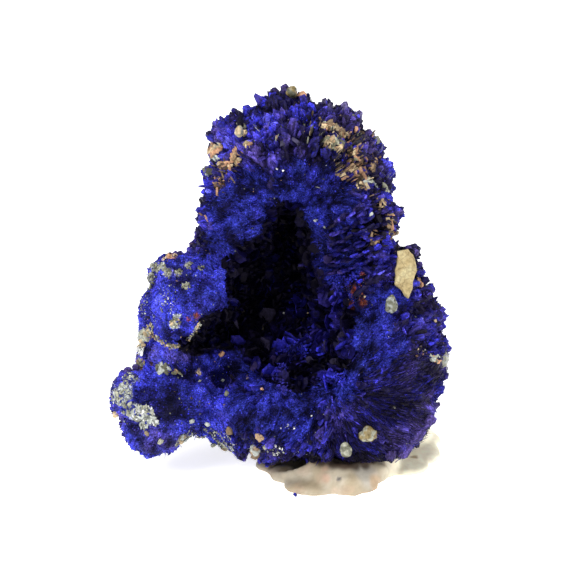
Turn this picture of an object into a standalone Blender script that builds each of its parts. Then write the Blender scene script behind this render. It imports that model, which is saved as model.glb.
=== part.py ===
"""Azurite specimen: a hollow, crystal-covered nodule that leans on a pad of display putty.

Metres, +Z up. The origin is the middle of the pad's flat underside. The specimen is modelled in its own
frame (X right, Y away from its open face, Z up the face) and is then leaned back onto the pad.
"""

import math
import random

import bmesh
import bpy
from mathutils import Matrix, Vector, noise
from mathutils.bvhtree import BVHTree

MM = 0.001

# Driving dimensions, in millimetres unless a name says otherwise.
LEAN_DEGREES = 18.0
SPECIMEN_FOOT = (0.0, -11.6, 2.9)  # where the specimen's own origin stands over the pad
CONTACT_GAP = 0.35  # air kept between neighbouring solids
GRIP_MARGIN = 2.0  # nearer to the putty than this the nodule is bare
FLOOR_MARGIN = 0.8  # no blade tip hangs lower than this

# The nodule's lobes: middle and half-sizes, in the specimen's own frame.
LOBES = {
    "crown": ((-5.5, 7.0, 28.4), (8.8, 8.6, 8.5)),
    "crown_peak": ((-6.4, 5.6, 35.7), (2.0, 2.8, 1.7)),
    "crown_brow": ((-5.0, 2.6, 30.4), (6.6, 4.6, 5.4)),
    "crown_left_cheek": ((-10.4, 3.2, 25.8), (3.0, 4.6, 6.0)),
    "crown_right_cheek": ((1.1, 3.0, 24.2), (3.6, 4.6, 6.0)),
    "right_shoulder": ((3.0, 5.0, 16.4), (4.2, 6.0, 5.2)),
    "right_lobe": ((2.6, 5.6, 10.5), (6.5, 7.6, 7.6)),
    "right_fan": ((1.2, 2.8, 5.4), (5.6, 4.2, 4.9)),
    "bottom_lobe": ((-8.4, 4.4, 4.2), (7.2, 6.2, 4.2)),
    "left_shoulder": ((-15.7, 3.6, 15.4), (4.5, 5.4, 4.4)),
    "left_neck": ((-12.8, 5.6, 19.2), (3.4, 5.0, 3.6)),
    "left_waist": ((-16.8, 6.0, 10.9), (3.9, 4.8, 3.6)),
    "left_arm": ((-17.8, 4.2, 6.0), (5.2, 4.8, 3.3)),
    "left_tip": ((-21.4, 4.0, 6.6), (1.8, 3.4, 2.3)),
    "left_foot": ((-18.8, 4.2, 3.4), (3.0, 3.4, 2.3)),
    "back": ((-6.0, 9.6, 16.6), (11.0, 7.6, 13.6)),
}

# The hollow, open to the front.
HOLLOW = {
    "mouth": ((-6.6, -3.4, 14.6), (7.8, 4.6, 7.4)),
    "throat": ((-6.5, 1.6, 21.0), (2.5, 7.4, 6.2)),
    "chamber": ((-6.4, 2.4, 16.0), (5.2, 8.4, 5.0)),
    "left_wall": ((-9.4, 1.0, 18.0), (3.3, 6.0, 4.3)),
    "right_wall": ((-2.8, 1.4, 15.4), (2.6, 6.2, 3.4)),
    "left_cleft": ((-13.0, 0.6, 12.6), (4.8, 5.6, 1.7)),
    "floor": ((-5.6, 0.8, 11.4), (5.4, 6.2, 3.2)),
    "pocket": ((-4.9, 0.0, 8.8), (1.9, 3.8, 2.2)),
}

# Where the blades radiate from.
GROWTH_CENTRES = (
    (-5.0, 7.0, 25.0),
    (-0.5, 6.0, 10.0),
    (-14.5, 6.0, 15.5),
    (-16.0, 6.0, 6.5),
    (-8.0, 6.5, 8.0),
    (-6.0, 6.0, 17.0),
)

# Pale grains of another mineral, set in the azurite: middle and half-sizes.
PALE_GRAINS = {
    "peak": ((-5.8, 3.6, 37.2), (0.75, 0.8, 0.75)),
    "crown_left": ((-11.0, -0.2, 33.0), (0.6, 0.7, 0.65)),
    "crown_right": ((3.4, 2.2, 27.4), (0.6, 0.7, 0.6)),
    "shoulder": ((3.9, -1.2, 16.0), (0.75, 0.8, 1.0)),
    "right_edge": ((9.3, 3.2, 10.5), (0.8, 0.8, 1.0)),
    "lower_right": ((1.6, -1.1, 3.3), (1.05, 0.8, 0.95)),
    "lower_middle": ((-0.5, -1.0, 1.8), (0.75, 0.8, 0.8)),
    "bottom_left": ((-9.4, 0.4, 1.7), (0.6, 0.7, 0.75)),
}
CREAM_CHIP = ((5.2, -0.8, 19.4), (1.3, 1.3, 2.3))

# The putty pad is an ellipsoid, cut off flat at the floor.
PAD_HALF_SIZES = (9.3, 12.2, 3.6)
PAD_MIDDLE = (0.3, 0.0, 0.6)
PAD_WANDER = 0.2  # how far the outline wanders, as a share of the radius
PAD_WANDER_TURNS = 1.9  # about how many bays the outline has on each side
PAD_CREASE_SIZE = 3.6
PAD_CREASE_DEPTH = 1.4
PAD_CREASE_RISE = 0.25  # the noise value that neither sinks nor swells
PRESS_CLEARANCE = 1.3 * CONTACT_GAP  # the pad keeps more than the gap, because both surfaces are faceted

# The nodule's skin.
SKIN_VOXEL = 0.62
SKIN_LUMPS = (3.4, 1.1)  # size and depth of the lumps on the outside
HOLLOW_LUMPS = (2.6, 0.5)  # and on the hollow's wall
BODY_TRIANGLES = 2780
WALL_REACH = 0.55  # a facet this near the hollow's form is part of its wall

# The crust of crystals that lines the hollow.
CRUST_THICKNESS = 0.5
CRUST_FRONT = 1.3  # how far behind the face the crust starts
CRUST_BARE_LIP = 0.6  # and how far behind that its first blade stands
CRUST_BLADES = (0.4, 1.3)
CRUST_BLADE_SHARE = 0.3  # a blade takes no more than this of the room across the hollow
HOLLOW_AXIS = (-5.6, 3.0, 16.0)
OPEN_ROOM = 10.0  # taken as the room where nothing stands across

# The blades that cover both.
BLADE_HEIGHTS = (0.3, 1.45)  # beside the hollow, and out on the nodule's skin
BLADE_FADE = (0.8, 5.3)  # distances from the hollow over which they grow to full height
BLADE_TAPER = 0.66  # a blade's ridge as a share of its foot
BLADE_TILT = 0.3
BLADE_UPRIGHT = 0.9  # how far a blade follows the skin's normal and not its growth centre
LEAST_FACET = 0.5  # mm2, below which a facet stays bare
SLIVER = 0.1  # points nearer than this are one
SEED = 7

POSE = Matrix.Translation(Vector(SPECIMEN_FOOT) * MM) @ Matrix.Rotation(math.radians(-LEAN_DEGREES), 4, "X")


def clear_scene():
    for obj in list(bpy.data.objects):
        bpy.data.objects.remove(obj, do_unlink=True)


def new_collection(name):
    made = bpy.data.collections.new(name)
    bpy.context.scene.collection.children.link(made)
    return made


def material(name, colour, roughness):
    made = bpy.data.materials.new(name)
    made.use_nodes = True
    shader = made.node_tree.nodes["Principled BSDF"]
    shader.inputs["Base Color"].default_value = (*colour, 1.0)
    shader.inputs["Roughness"].default_value = roughness
    made.diffuse_color = (*colour, 1.0)
    return made


def object_from(bm, name, collection):
    mesh = bpy.data.meshes.new(name)
    bm.to_mesh(mesh)
    bm.free()
    obj = bpy.data.objects.new(name, mesh)
    collection.objects.link(obj)
    return obj


def bake_modifiers(obj):
    """Replaces the object's mesh with what its modifiers make of it."""
    graph = bpy.context.evaluated_depsgraph_get()
    baked = bpy.data.meshes.new_from_object(obj.evaluated_get(graph))
    obj.modifiers.clear()
    obj.data = baked


def balls(bm, parts, grow=0.0, subdivisions=4):
    """Adds one ellipsoid for each entry, each half-size larger by grow."""
    for middle, half_sizes in parts.values():
        sizes = [(half + grow) * MM for half in half_sizes]
        place = Matrix.Translation(Vector(middle) * MM) @ Matrix.Diagonal((*sizes, 1.0))
        bmesh.ops.create_icosphere(bm, subdivisions=subdivisions, radius=1.0, matrix=place)


def fused(parts, name, collection):
    """One closed skin round all the ellipsoids."""
    bm = bmesh.new()
    balls(bm, parts)
    obj = object_from(bm, name, collection)
    remesh = obj.modifiers.new("one skin", "REMESH")
    remesh.mode = "VOXEL"
    remesh.voxel_size = SKIN_VOXEL * MM
    smooth = obj.modifiers.new("soften", "SMOOTH")
    smooth.iterations = 4
    bake_modifiers(obj)
    return obj


def roughen(mesh, lumps, shift):
    """Pushes each vertex in or out by a smooth noise of the given lump size and depth."""
    lump, depth = lumps
    moved = []
    for vertex in mesh.vertices:
        swell = noise.noise(vertex.co / (lump * MM) + shift)
        moved.append(vertex.co + vertex.normal * swell * depth * MM)
    for vertex, place in zip(mesh.vertices, moved):
        vertex.co = place


def decimated(obj, triangles):
    obj.data.calc_loop_triangles()
    thin = obj.modifiers.new("fewer faces", "DECIMATE")
    thin.ratio = triangles / len(obj.data.loop_triangles)
    thin.use_collapse_triangulate = True
    bake_modifiers(obj)
    keep_whole(obj)


def keep_whole(obj):
    """Closes up the slivers that a collapse or a cut can leave hanging from one edge."""
    bm = bmesh.new()
    bm.from_mesh(obj.data)
    bmesh.ops.remove_doubles(bm, verts=bm.verts, dist=SLIVER * MM)
    bm.to_mesh(obj.data)
    bm.free()


def boolean(obj, other, operation):
    step = obj.modifiers.new(operation.lower(), "BOOLEAN")
    step.operation = operation
    step.object = other
    bake_modifiers(obj)


def hide_guide(obj):
    obj.hide_render = True
    obj.display_type = "WIRE"


def growth_direction(point, normal):
    """Blades point away from the nearest growth centre, and never into the skin."""
    centre = min((Vector(c) * MM for c in GROWTH_CENTRES), key=lambda c: (point - c).length)
    return ((point - centre).normalized() + normal * BLADE_UPRIGHT).normalized()


def grow_blades(bm, faces, height_at, direction_at, rng):
    """Turns each four-sided face into a wedge-tipped blade and each triangle into a point."""
    fours = [face for face in faces if len(face.verts) == 4]
    threes = [face for face in faces if len(face.verts) == 3]
    tops = bmesh.ops.extrude_discrete_faces(bm, faces=fours)["faces"]
    ridge_ends = []
    for top in tops:
        top.normal_update()
        middle = top.calc_center_median()
        tilt = Vector([rng.uniform(-BLADE_TILT, BLADE_TILT) for _ in range(3)])
        lift = (direction_at(middle, top.normal) + tilt).normalized()
        height = height_at(middle) * MM * rng.uniform(0.6, 1.15)
        for vertex in top.verts:
            vertex.co = middle + (vertex.co - middle) * BLADE_TAPER + lift * height
        sides = [edge.calc_length() for edge in top.edges]
        first = 0 if sides[0] + sides[2] < sides[1] + sides[3] else 1
        ridge_ends += [top.edges[first], top.edges[first + 2]]
    bmesh.ops.collapse(bm, edges=ridge_ends)
    for face in threes:
        middle = face.calc_center_median()
        lift = direction_at(middle, face.normal) * height_at(middle) * MM * rng.uniform(0.5, 0.9)
        point = bmesh.ops.poke(bm, faces=[face])["verts"][0]
        point.co = middle + lift


def quads_of(obj):
    """The object's mesh with neighbouring triangles paired into four-sided faces."""
    bm = bmesh.new()
    bm.from_mesh(obj.data)
    bmesh.ops.join_triangles(bm, faces=bm.faces, angle_face_threshold=1.0, angle_shape_threshold=1.2)
    bm.normal_update()
    return bm


def pressed(point):
    """True where the putty grips, which is inside its ellipsoid grown by the margin."""
    offset = (POSE @ point) / MM - Vector(PAD_MIDDLE)
    return math.hypot(*[offset[i] / (PAD_HALF_SIZES[i] + GRIP_MARGIN) for i in range(3)]) < 1.0


def near_grain(point, margin):
    """True beside a grain or the chip, where a blade would run into it."""
    for middle, half_sizes in [*PALE_GRAINS.values(), CREAM_CHIP]:
        offset = point / MM - Vector(middle)
        reach = [abs(offset[i]) / (half_sizes[i] + margin) for i in range(3)]
        if math.hypot(*reach) < 1.0:
            return True
    return False


def make_nodule(parts, helpers, looks):
    """The azurite itself: fused lobes, hollowed from the front and covered with blades."""
    nodule = fused(LOBES, "azurite_cluster", parts)
    roughen(nodule.data, SKIN_LUMPS, Vector((3.0, 1.0, 7.0)))
    hollow = fused(HOLLOW, "hollow_form", helpers)
    roughen(hollow.data, HOLLOW_LUMPS, Vector((9.0, 4.0, 2.0)))
    hide_guide(hollow)
    boolean(nodule, hollow, "DIFFERENCE")
    decimated(nodule, BODY_TRIANGLES)
    form = nodule.copy()
    form.data = nodule.data.copy()
    form.name = "nodule_form"
    helpers.objects.link(form)
    hide_guide(form)

    for name, grain in {**PALE_GRAINS, "chip": CREAM_CHIP}.items():
        bm = bmesh.new()
        balls(bm, {name: grain}, CONTACT_GAP + 0.05, subdivisions=1)
        pocket = object_from(bm, name + "_pocket", helpers)
        hide_guide(pocket)
        boolean(nodule, pocket, "DIFFERENCE")
    keep_whole(nodule)

    hollow_tree = tree_of(hollow)
    rng = random.Random(SEED)

    def height_at(point):
        distance = hollow_tree.find_nearest(point)[3] / MM
        share = min(1.0, max(0.0, (distance - BLADE_FADE[0]) / (BLADE_FADE[1] - BLADE_FADE[0])))
        return BLADE_HEIGHTS[0] + (BLADE_HEIGHTS[1] - BLADE_HEIGHTS[0]) * share

    bm = quads_of(nodule)
    grown = []
    for face in bm.faces:
        middle = face.calc_center_median()
        inside = hollow_tree.find_nearest(middle)[3] < WALL_REACH * MM
        tip = middle + growth_direction(middle, face.normal) * BLADE_HEIGHTS[1] * MM
        low = (POSE @ tip).z < FLOOR_MARGIN * MM
        small = face.calc_area() < LEAST_FACET * MM * MM
        if not (inside or low or small or pressed(middle) or near_grain(middle, BLADE_HEIGHTS[1])):
            grown.append(face)
    grow_blades(bm, grown, height_at, growth_direction, rng)
    bm.to_mesh(nodule.data)
    bm.free()
    nodule.data.materials.append(looks["azurite"])
    return nodule, form, hollow


def tree_of(obj):
    bm = bmesh.new()
    bm.from_mesh(obj.data)
    tree = BVHTree.FromBMesh(bm)
    bm.free()
    return tree


def make_crust(parts, form, hollow, looks):
    """The druse that lines the hollow: the wall's own facets, lifted clear of it, thickened and bladed."""
    hollow_tree, wall_tree = tree_of(hollow), tree_of(form)
    bm = quads_of(form)
    elsewhere = [
        face for face in bm.faces if hollow_tree.find_nearest(face.calc_center_median())[3] > WALL_REACH * MM
    ]
    bmesh.ops.delete(bm, geom=elsewhere, context="FACES")
    bm.normal_update()
    lifted = [vertex.co + vertex.normal * (CONTACT_GAP + CRUST_THICKNESS) * MM for vertex in bm.verts]
    for vertex, place in zip(bm.verts, lifted):
        vertex.co = place
    geometry = bm.verts[:] + bm.edges[:] + bm.faces[:]
    bmesh.ops.bisect_plane(
        bm, geom=geometry, dist=1e-7, plane_co=(0, CRUST_FRONT * MM, 0), plane_no=(0, -1, 0), clear_outer=True
    )
    keep_largest_piece(bm)
    bm.normal_update()
    facing_in = [face.calc_center_median() for face in bm.faces]
    crust = object_from(bm, "cavity_crystals", parts)
    thicken = crust.modifiers.new("thicken", "SOLIDIFY")
    thicken.thickness = CRUST_THICKNESS * MM
    bake_modifiers(crust)
    bm = bmesh.new()
    bm.from_mesh(crust.data)
    bm.normal_update()
    rng = random.Random(SEED + 1)

    def height_at(point):
        across = wall_tree.ray_cast(point, direction_in(point))[3]
        room = across / MM if across else OPEN_ROOM
        return min(rng.uniform(*CRUST_BLADES), CRUST_BLADE_SHARE * room)

    def direction_in(point):
        return (Vector(HOLLOW_AXIS) * MM - point).normalized()

    bases = [
        face
        for face in bm.faces
        if face.calc_center_median().y > (CRUST_FRONT + CRUST_BARE_LIP) * MM
        and min((face.calc_center_median() - middle).length for middle in facing_in) < 1e-6
    ]
    grow_blades(bm, bases, height_at, lambda point, normal: normal, rng)
    bm.to_mesh(crust.data)
    bm.free()
    crust.data.materials.append(looks["cavity"])
    return crust


def keep_largest_piece(bm):
    """Drops scraps of surface that hang together with nothing."""
    left, pieces = set(bm.faces), []
    while left:
        piece, edge_front = set(), [left.pop()]
        while edge_front:
            face = edge_front.pop()
            piece.add(face)
            for neighbour in {f for edge in face.edges for f in edge.link_faces} & left:
                left.discard(neighbour)
                edge_front.append(neighbour)
        pieces.append(piece)
    scraps = [face for piece in sorted(pieces, key=len)[:-1] for face in piece]
    bmesh.ops.delete(bm, geom=scraps, context="FACES")


def make_grain(name, middle, half_sizes, subdivisions, parts, look, rng):
    """A small faceted grain: an ico sphere with its corners pulled about."""
    bm = bmesh.new()
    balls(bm, {name: (middle, half_sizes)}, subdivisions=subdivisions)
    centre = Vector(middle) * MM
    for vertex in bm.verts:
        vertex.co = centre + (vertex.co - centre) * rng.uniform(0.82, 1.0)
    grain = object_from(bm, name, parts)
    grain.data.materials.append(look)
    return grain


def make_pad(parts, form, looks):
    """A flattened lump of putty, cut flat below and pressed hollow by the nodule."""
    bm = bmesh.new()
    place = Matrix.Translation(Vector(PAD_MIDDLE) * MM) @ Matrix.Diagonal((*[h * MM for h in PAD_HALF_SIZES], 1.0))
    bmesh.ops.create_uvsphere(bm, u_segments=40, v_segments=20, radius=1.0, matrix=place)
    for vertex in bm.verts:
        around = math.atan2(vertex.co.y, vertex.co.x)
        spot = Vector((math.cos(around), math.sin(around), 0.0)) * PAD_WANDER_TURNS
        wander = 1.0 + PAD_WANDER * noise.noise(spot + Vector((0.0, 0.0, 5.0)))
        vertex.co.x *= wander
        vertex.co.y *= wander
        crease = abs(noise.noise(vertex.co / (PAD_CREASE_SIZE * MM)))
        vertex.co.z += PAD_CREASE_DEPTH * MM * (PAD_CREASE_RISE - crease)
    geometry = bm.verts[:] + bm.edges[:] + bm.faces[:]
    bmesh.ops.bisect_plane(bm, geom=geometry, dist=1e-7, plane_co=(0, 0, 0), plane_no=(0, 0, -1), clear_outer=True)
    rim = [edge for edge in bm.edges if edge.is_boundary]
    bmesh.ops.contextual_create(bm, geom=rim)
    bmesh.ops.triangulate(bm, faces=bm.faces)
    pad = object_from(bm, "putty_pad", parts)
    pad.data.materials.append(looks["putty"])

    press = form.copy()
    press.data = form.data.copy()
    press.name = "press_form"
    form.users_collection[0].objects.link(press)
    press.matrix_world = POSE
    swell = press.modifiers.new("stand clear", "DISPLACE")
    swell.strength = PRESS_CLEARANCE * MM
    swell.mid_level = 0.0
    bake_modifiers(press)
    boolean(pad, press, "DIFFERENCE")
    return pad


def main():
    clear_scene()
    parts = new_collection("azurite_specimen")
    helpers = new_collection("cutters")
    looks = {
        "azurite": material("azurite", (0.035, 0.03, 0.22), 0.55),
        "cavity": material("cavity azurite", (0.008, 0.006, 0.03), 0.3),
        "pale": material("pale mineral", (0.5, 0.47, 0.4), 0.45),
        "cream": material("cream rock", (0.56, 0.43, 0.22), 0.8),
        "putty": material("putty", (0.58, 0.5, 0.4), 0.6),
    }
    nodule, form, hollow = make_nodule(parts, helpers, looks)
    crust = make_crust(parts, form, hollow, looks)
    rng = random.Random(SEED + 2)
    grains = [
        make_grain("pale_grain_" + name, middle, half_sizes, 1, parts, looks["pale"], rng)
        for name, (middle, half_sizes) in PALE_GRAINS.items()
    ]
    chip = make_grain("cream_chip", *CREAM_CHIP, 1, parts, looks["cream"], rng)
    lean = bpy.data.objects.new("specimen_lean", None)
    helpers.objects.link(lean)
    lean.matrix_world = POSE
    for obj in [nodule, crust, chip, *grains]:
        obj.parent = lean
    bpy.context.view_layer.update()
    make_pad(parts, form, looks)


main()
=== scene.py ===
import math

import bpy
import numpy as np
from mathutils import Matrix, Vector, noise
from mathutils.bvhtree import BVHTree


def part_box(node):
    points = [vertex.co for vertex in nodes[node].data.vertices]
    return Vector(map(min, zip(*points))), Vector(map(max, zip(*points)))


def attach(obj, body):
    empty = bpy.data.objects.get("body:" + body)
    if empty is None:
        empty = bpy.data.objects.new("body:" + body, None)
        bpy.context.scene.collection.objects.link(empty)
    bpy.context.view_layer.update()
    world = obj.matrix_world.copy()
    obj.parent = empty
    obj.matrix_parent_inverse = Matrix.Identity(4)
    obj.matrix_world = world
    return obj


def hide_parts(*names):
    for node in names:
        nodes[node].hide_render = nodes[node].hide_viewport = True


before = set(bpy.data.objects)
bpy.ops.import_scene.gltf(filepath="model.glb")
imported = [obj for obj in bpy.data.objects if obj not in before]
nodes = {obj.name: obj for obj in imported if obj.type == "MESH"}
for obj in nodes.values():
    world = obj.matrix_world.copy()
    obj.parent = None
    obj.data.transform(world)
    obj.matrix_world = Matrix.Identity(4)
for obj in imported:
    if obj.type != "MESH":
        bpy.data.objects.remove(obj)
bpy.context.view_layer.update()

mm = 0.001
print("frame loaded:", len(nodes), "nodes")


# Where the specimen stands.

# The specimen is modelled upright in its own frame, in millimetres: x right, y back from the open face, z up
# the face. At the end it is leaned back onto the putty.
stance = {
    "leanDegrees": 18.0,
    "foot": (0.0, -11.6, 2.9),
    "faceDepth": 4.0,  # the depth at which the camera sees the specimen true to scale
}
leanPose = Matrix.Translation(Vector(stance["foot"]) * mm) @ Matrix.Rotation(
    math.radians(-stance["leanDegrees"]), 4, "X"
)

viewpoint = {
    "lens": 150.0,
    "aimAcross": -6.25,
    "aimUp": 16.85,
    "distance": 247.6,
}


def placeCamera():
    lean = math.radians(stance["leanDegrees"])
    upward = Vector((0.0, math.sin(lean), math.cos(lean)))
    towards = Vector((0.0, -math.cos(lean), math.sin(lean)))
    place = Vector((viewpoint["aimAcross"], 0.0, 0.0)) + upward * viewpoint["aimUp"] + towards * viewpoint["distance"]
    bpy.ops.object.camera_add(location=place * mm, rotation=(math.radians(90.0) - lean, 0.0, 0.0))
    camera = bpy.context.object
    camera.name = "camera"
    camera.data.lens = viewpoint["lens"]
    camera.data.clip_start = 0.01
    bpy.context.scene.camera = camera
    return leanPose.inverted() @ camera.location


def pickNone():
    bpy.ops.object.select_all(action="DESELECT")


pickNone()
eye = placeCamera()  # in the specimen's own frame, metres
print("camera placed")


# The body's form.

lobes = {
    "crown": ((-5.1, 7.0, 28.3), (9.3, 8.6, 8.5)),
    "crownTopLeft": ((-10.2, 6.0, 32.4), (3.7, 4.4, 3.2)),
    "crownTopRight": ((-1.4, 5.8, 32.8), (3.4, 4.2, 3.0)),
    "crownPeak": ((-6.5, 5.6, 35.8), (3.0, 2.8, 1.7)),
    "crownBrow": ((-5.0, 2.6, 30.2), (6.6, 4.6, 5.4)),
    "crownLeftCheek": ((-10.8, 3.2, 24.7), (4.2, 4.8, 5.3)),
    "crownRightCheek": ((1.1, 3.0, 24.2), (3.6, 4.6, 6.0)),
    "rightShoulder": ((3.1, 5.0, 16.6), (4.3, 6.0, 5.2)),
    "shoulderTop": ((5.5, 4.4, 20.8), (1.4, 2.4, 1.3)),
    "rightSide": ((6.6, 5.2, 15.2), (2.4, 3.2, 3.0)),
    "rightLobe": ((2.8, 5.6, 10.5), (6.9, 7.6, 7.6)),
    "rightFan": ((1.7, 2.8, 5.1), (6.4, 4.2, 4.7)),
    "bottomLobe": ((-8.0, 4.4, 4.5), (6.6, 6.2, 4.0)),
    "bottomMiddle": ((-4.0, 4.0, 2.8), (5.8, 4.8, 2.5)),
    "leftShoulder": ((-15.8, 3.6, 15.5), (4.5, 5.4, 4.3)),
    "leftLip": ((-17.2, 2.4, 13.6), (2.5, 3.4, 2.0)),
    "leftShoulderTop": ((-17.2, 3.8, 18.8), (3.0, 3.2, 2.5)),
    "leftShoulderSide": ((-19.2, 4.0, 14.8), (2.0, 3.0, 3.2)),
    "leftNeck": ((-12.4, 5.6, 19.4), (3.2, 5.0, 3.6)),
    "leftWaist": ((-17.2, 6.0, 11.0), (4.2, 4.8, 3.4)),
    "leftArm": ((-17.8, 4.2, 6.0), (5.2, 4.8, 3.3)),
    "leftTip": ((-21.8, 4.0, 6.9), (2.1, 3.3, 2.4)),
    "leftFoot": ((-19.5, 4.2, 3.9), (3.4, 3.4, 2.4)),
    "leftToe": ((-19.6, 3.8, 2.4), (2.5, 2.6, 1.4)),
    "back": ((-6.0, 9.6, 16.6), (11.0, 7.6, 13.6)),
}

hollow = {
    "mouth": ((-6.0, -3.4, 14.6), (6.7, 4.6, 7.4)),
    "throat": ((-6.5, 1.6, 21.2), (2.3, 7.4, 5.0)),
    "chamber": ((-7.1, 2.4, 15.6), (4.7, 8.4, 5.3)),
    "leftWall": ((-9.0, 1.0, 18.0), (3.0, 6.0, 4.4)),
    "rightWall": ((-2.6, -0.6, 15.0), (2.7, 4.8, 3.2)),
    "leftCleft": ((-12.3, 0.4, 13.2), (2.6, 5.8, 1.85)),
    "cleftTip": ((-14.8, -0.8, 12.05), (1.9, 4.8, 0.72)),
    "floor": ((-5.6, 0.8, 11.4), (5.4, 6.2, 3.2)),
    "pocket": ((-5.1, 0.2, 9.2), (1.5, 3.6, 1.7)),
}

nodule = {
    "firstVoxel": 0.5,
    "firstSoften": 4,  # rounds of smoothing
    "voxel": 0.228,
    "soften": 2,
    "broadLumps": ("CLOUDS", 3.2, 0.8),  # pattern, size and depth in mm
    "hollowLumps": ("CLOUDS", 2.4, 0.6),
    "knobs": (1.9, 1.0),  # size and height of the rounded lumps
    "ridges": (0.72, 0.36),
    "beads": (0.85, 0.30),
    "footLumps": (1.8, 0.5),
    "hollowRidges": (1.5, 0.5),
    "stretch": 3.0,  # how far the lumps are drawn out along the sprays
    "wornFoot": 0.75,
    "flatFelt": 0.4,
    "flatFan": 0.7,
}


def applyAll(obj):
    pickNone()
    obj.select_set(True)
    bpy.context.view_layer.objects.active = obj
    for modifier in list(obj.modifiers):
        bpy.ops.object.modifier_apply(modifier=modifier.name)


def remesh(obj, voxel, soften):
    skin = obj.modifiers.new("skin", "REMESH")
    skin.mode = "VOXEL"
    skin.voxel_size = voxel * mm
    smooth = obj.modifiers.new("soften", "SMOOTH")
    smooth.iterations = soften
    applyAll(obj)


# One ellipsoid for each middle and its half-sizes.
def addBalls(balls):
    made = []
    for middle, halfSizes in balls:
        bpy.ops.mesh.primitive_ico_sphere_add(
            subdivisions=4, radius=1.0, location=Vector(middle) * mm, scale=Vector(halfSizes) * mm
        )
        made.append(bpy.context.object)
    return made


# The active object, with its place, turn and size applied to its points.
def settled():
    obj = bpy.context.object
    bpy.ops.object.transform_apply(location=True, rotation=True, scale=True)
    return obj


# Joins the others into the first as one closed skin.
def fuse(first, others, voxel, soften):
    pickNone()
    for obj in (first, *others):
        obj.select_set(True)
    bpy.context.view_layer.objects.active = first
    bpy.ops.object.join()
    remesh(settled(), voxel, soften)


# Pushes the skin in and out by a procedural texture.
def lump(obj, kind, size, depth):
    pattern = bpy.data.textures.new(obj.name + kind.title(), kind)
    pattern.noise_scale = size * mm
    push = obj.modifiers.new("lumps", "DISPLACE")
    push.texture = pattern
    push.strength = depth * mm
    push.mid_level = 0.5
    push.texture_coords = "LOCAL"
    applyAll(obj)


def discard(obj):
    bpy.data.objects.remove(obj, do_unlink=True)


# A new object in the scene with this mesh.
def linked(name, mesh):
    obj = bpy.data.objects.new(name, mesh)
    bpy.context.scene.collection.objects.link(obj)
    return obj


def makeForm(name, balls, lumps):
    form, *others = addBalls(balls)
    form.name = name
    fuse(form, others, nodule["firstVoxel"], nodule["firstSoften"])
    lump(form, *lumps)
    return form


def makeNodule():
    form = makeForm("azuriteNodule", lobes.values(), nodule["broadLumps"])
    hole = makeForm("hollowForm", hollow.values(), nodule["hollowLumps"])
    bite = form.modifiers.new("hollow", "BOOLEAN")
    bite.operation = "DIFFERENCE"
    bite.object = hole
    applyAll(form)
    remesh(form, nodule["voxel"], nodule["soften"])
    return form, hole


azuriteNodule, hollowForm = makeNodule()
print("nodule formed:", len(azuriteNodule.data.polygons), "faces")


# Reading the skin.


def treeOf(obj):
    return BVHTree.FromPolygons(
        [vertex.co for vertex in obj.data.vertices], [tuple(face.vertices) for face in obj.data.polygons]
    )


# Face middles, normals and areas as arrays, in millimetres.
def readSkin(obj):
    count = len(obj.data.polygons)
    middles, normals, areas = np.empty(count * 3), np.empty(count * 3), np.empty(count)
    obj.data.polygons.foreach_get("center", middles)
    obj.data.polygons.foreach_get("normal", normals)
    obj.data.polygons.foreach_get("area", areas)
    return middles.reshape(-1, 3) / mm, normals.reshape(-1, 3), areas / mm**2


def farFrom(tree, points):
    return np.array([tree.find_nearest(Vector(p) * mm)[3] for p in points]) / mm


def unit(vectors):
    return vectors / np.maximum(np.linalg.norm(vectors, axis=-1, keepdims=True), 1e-9)


# The way across both, even where the two are nearly parallel.
def square(first, second):
    return unit(np.cross(first, second) + 1e-4)


# Smooth noise from 0 to 1 at each point.
def cloud(points, size, shift):
    offset = Vector((shift, shift, shift))
    return np.array([0.5 + 0.5 * noise.noise(Vector(p) / size + offset) for p in points])


# Rounded lumps from 0 to 1, with creases between them.
def domes(points, size, shift):
    offset = Vector((shift, shift, shift))
    near = np.array([noise.voronoi(Vector(p) / size + offset)[0][0] for p in points])
    return 1.0 - np.clip(near / 0.75, 0.0, 1.0) ** 2


def ramp(values, low, high):
    t = np.clip((values - low) / (high - low), 0.0, 1.0)
    return t * t * (3.0 - 2.0 * t)


def between(pair, t):
    return pair[0] + (pair[1] - pair[0]) * t


# The growth radiates from short lines that run back from the face: across, up, front, back, reach.
hubs = (
    (-5.0, 26.2, 2.0, 10.0, 9.0),
    (-0.8, 7.6, 1.0, 8.0, 8.5),
    (0.5, 16.0, 4.0, 9.0, 5.0),
    (-14.0, 15.5, 3.5, 8.0, 5.5),
    (-15.0, 7.0, 4.0, 7.0, 5.5),
    (-8.0, 8.4, 2.0, 8.0, 5.5),
    (-6.0, 17.0, 7.0, 10.0, 8.0),
    (-7.0, 17.2, 1.0, 7.0, 7.4),
)


# For each hub: which way and how far the points lie from it, how strongly it draws them, and its reach.
def fromHubs(points):
    for across, up, front, back, reach in hubs:
        start = np.tile((across, 0.0, up), (len(points), 1))
        start[:, 1] = np.clip(points[:, 1], front, back)
        away = points - start
        far = np.linalg.norm(away, axis=1)
        yield away / np.maximum(far, 0.3)[:, None], far, np.exp(-((far / reach) ** 2) * 1.6) + 1e-6, reach


# The way the blades radiate at each point.
def outward(points):
    return unit(sum(way * weight[:, None] for way, far, weight, reach in fromHubs(points)))


# The points in a frame where a pattern comes out drawn along the spray that they belong to.
def alongSprays(points):
    drawn, strongest = np.zeros_like(points), np.zeros(len(points))
    for number, (way, far, weight, reach) in enumerate(fromHubs(points)):
        mine = weight > strongest
        drawn[mine] = (way * (reach + far / nodule["stretch"])[:, None] + 40.0 * number)[mine]
        strongest = np.maximum(strongest, weight)
    return drawn


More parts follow.
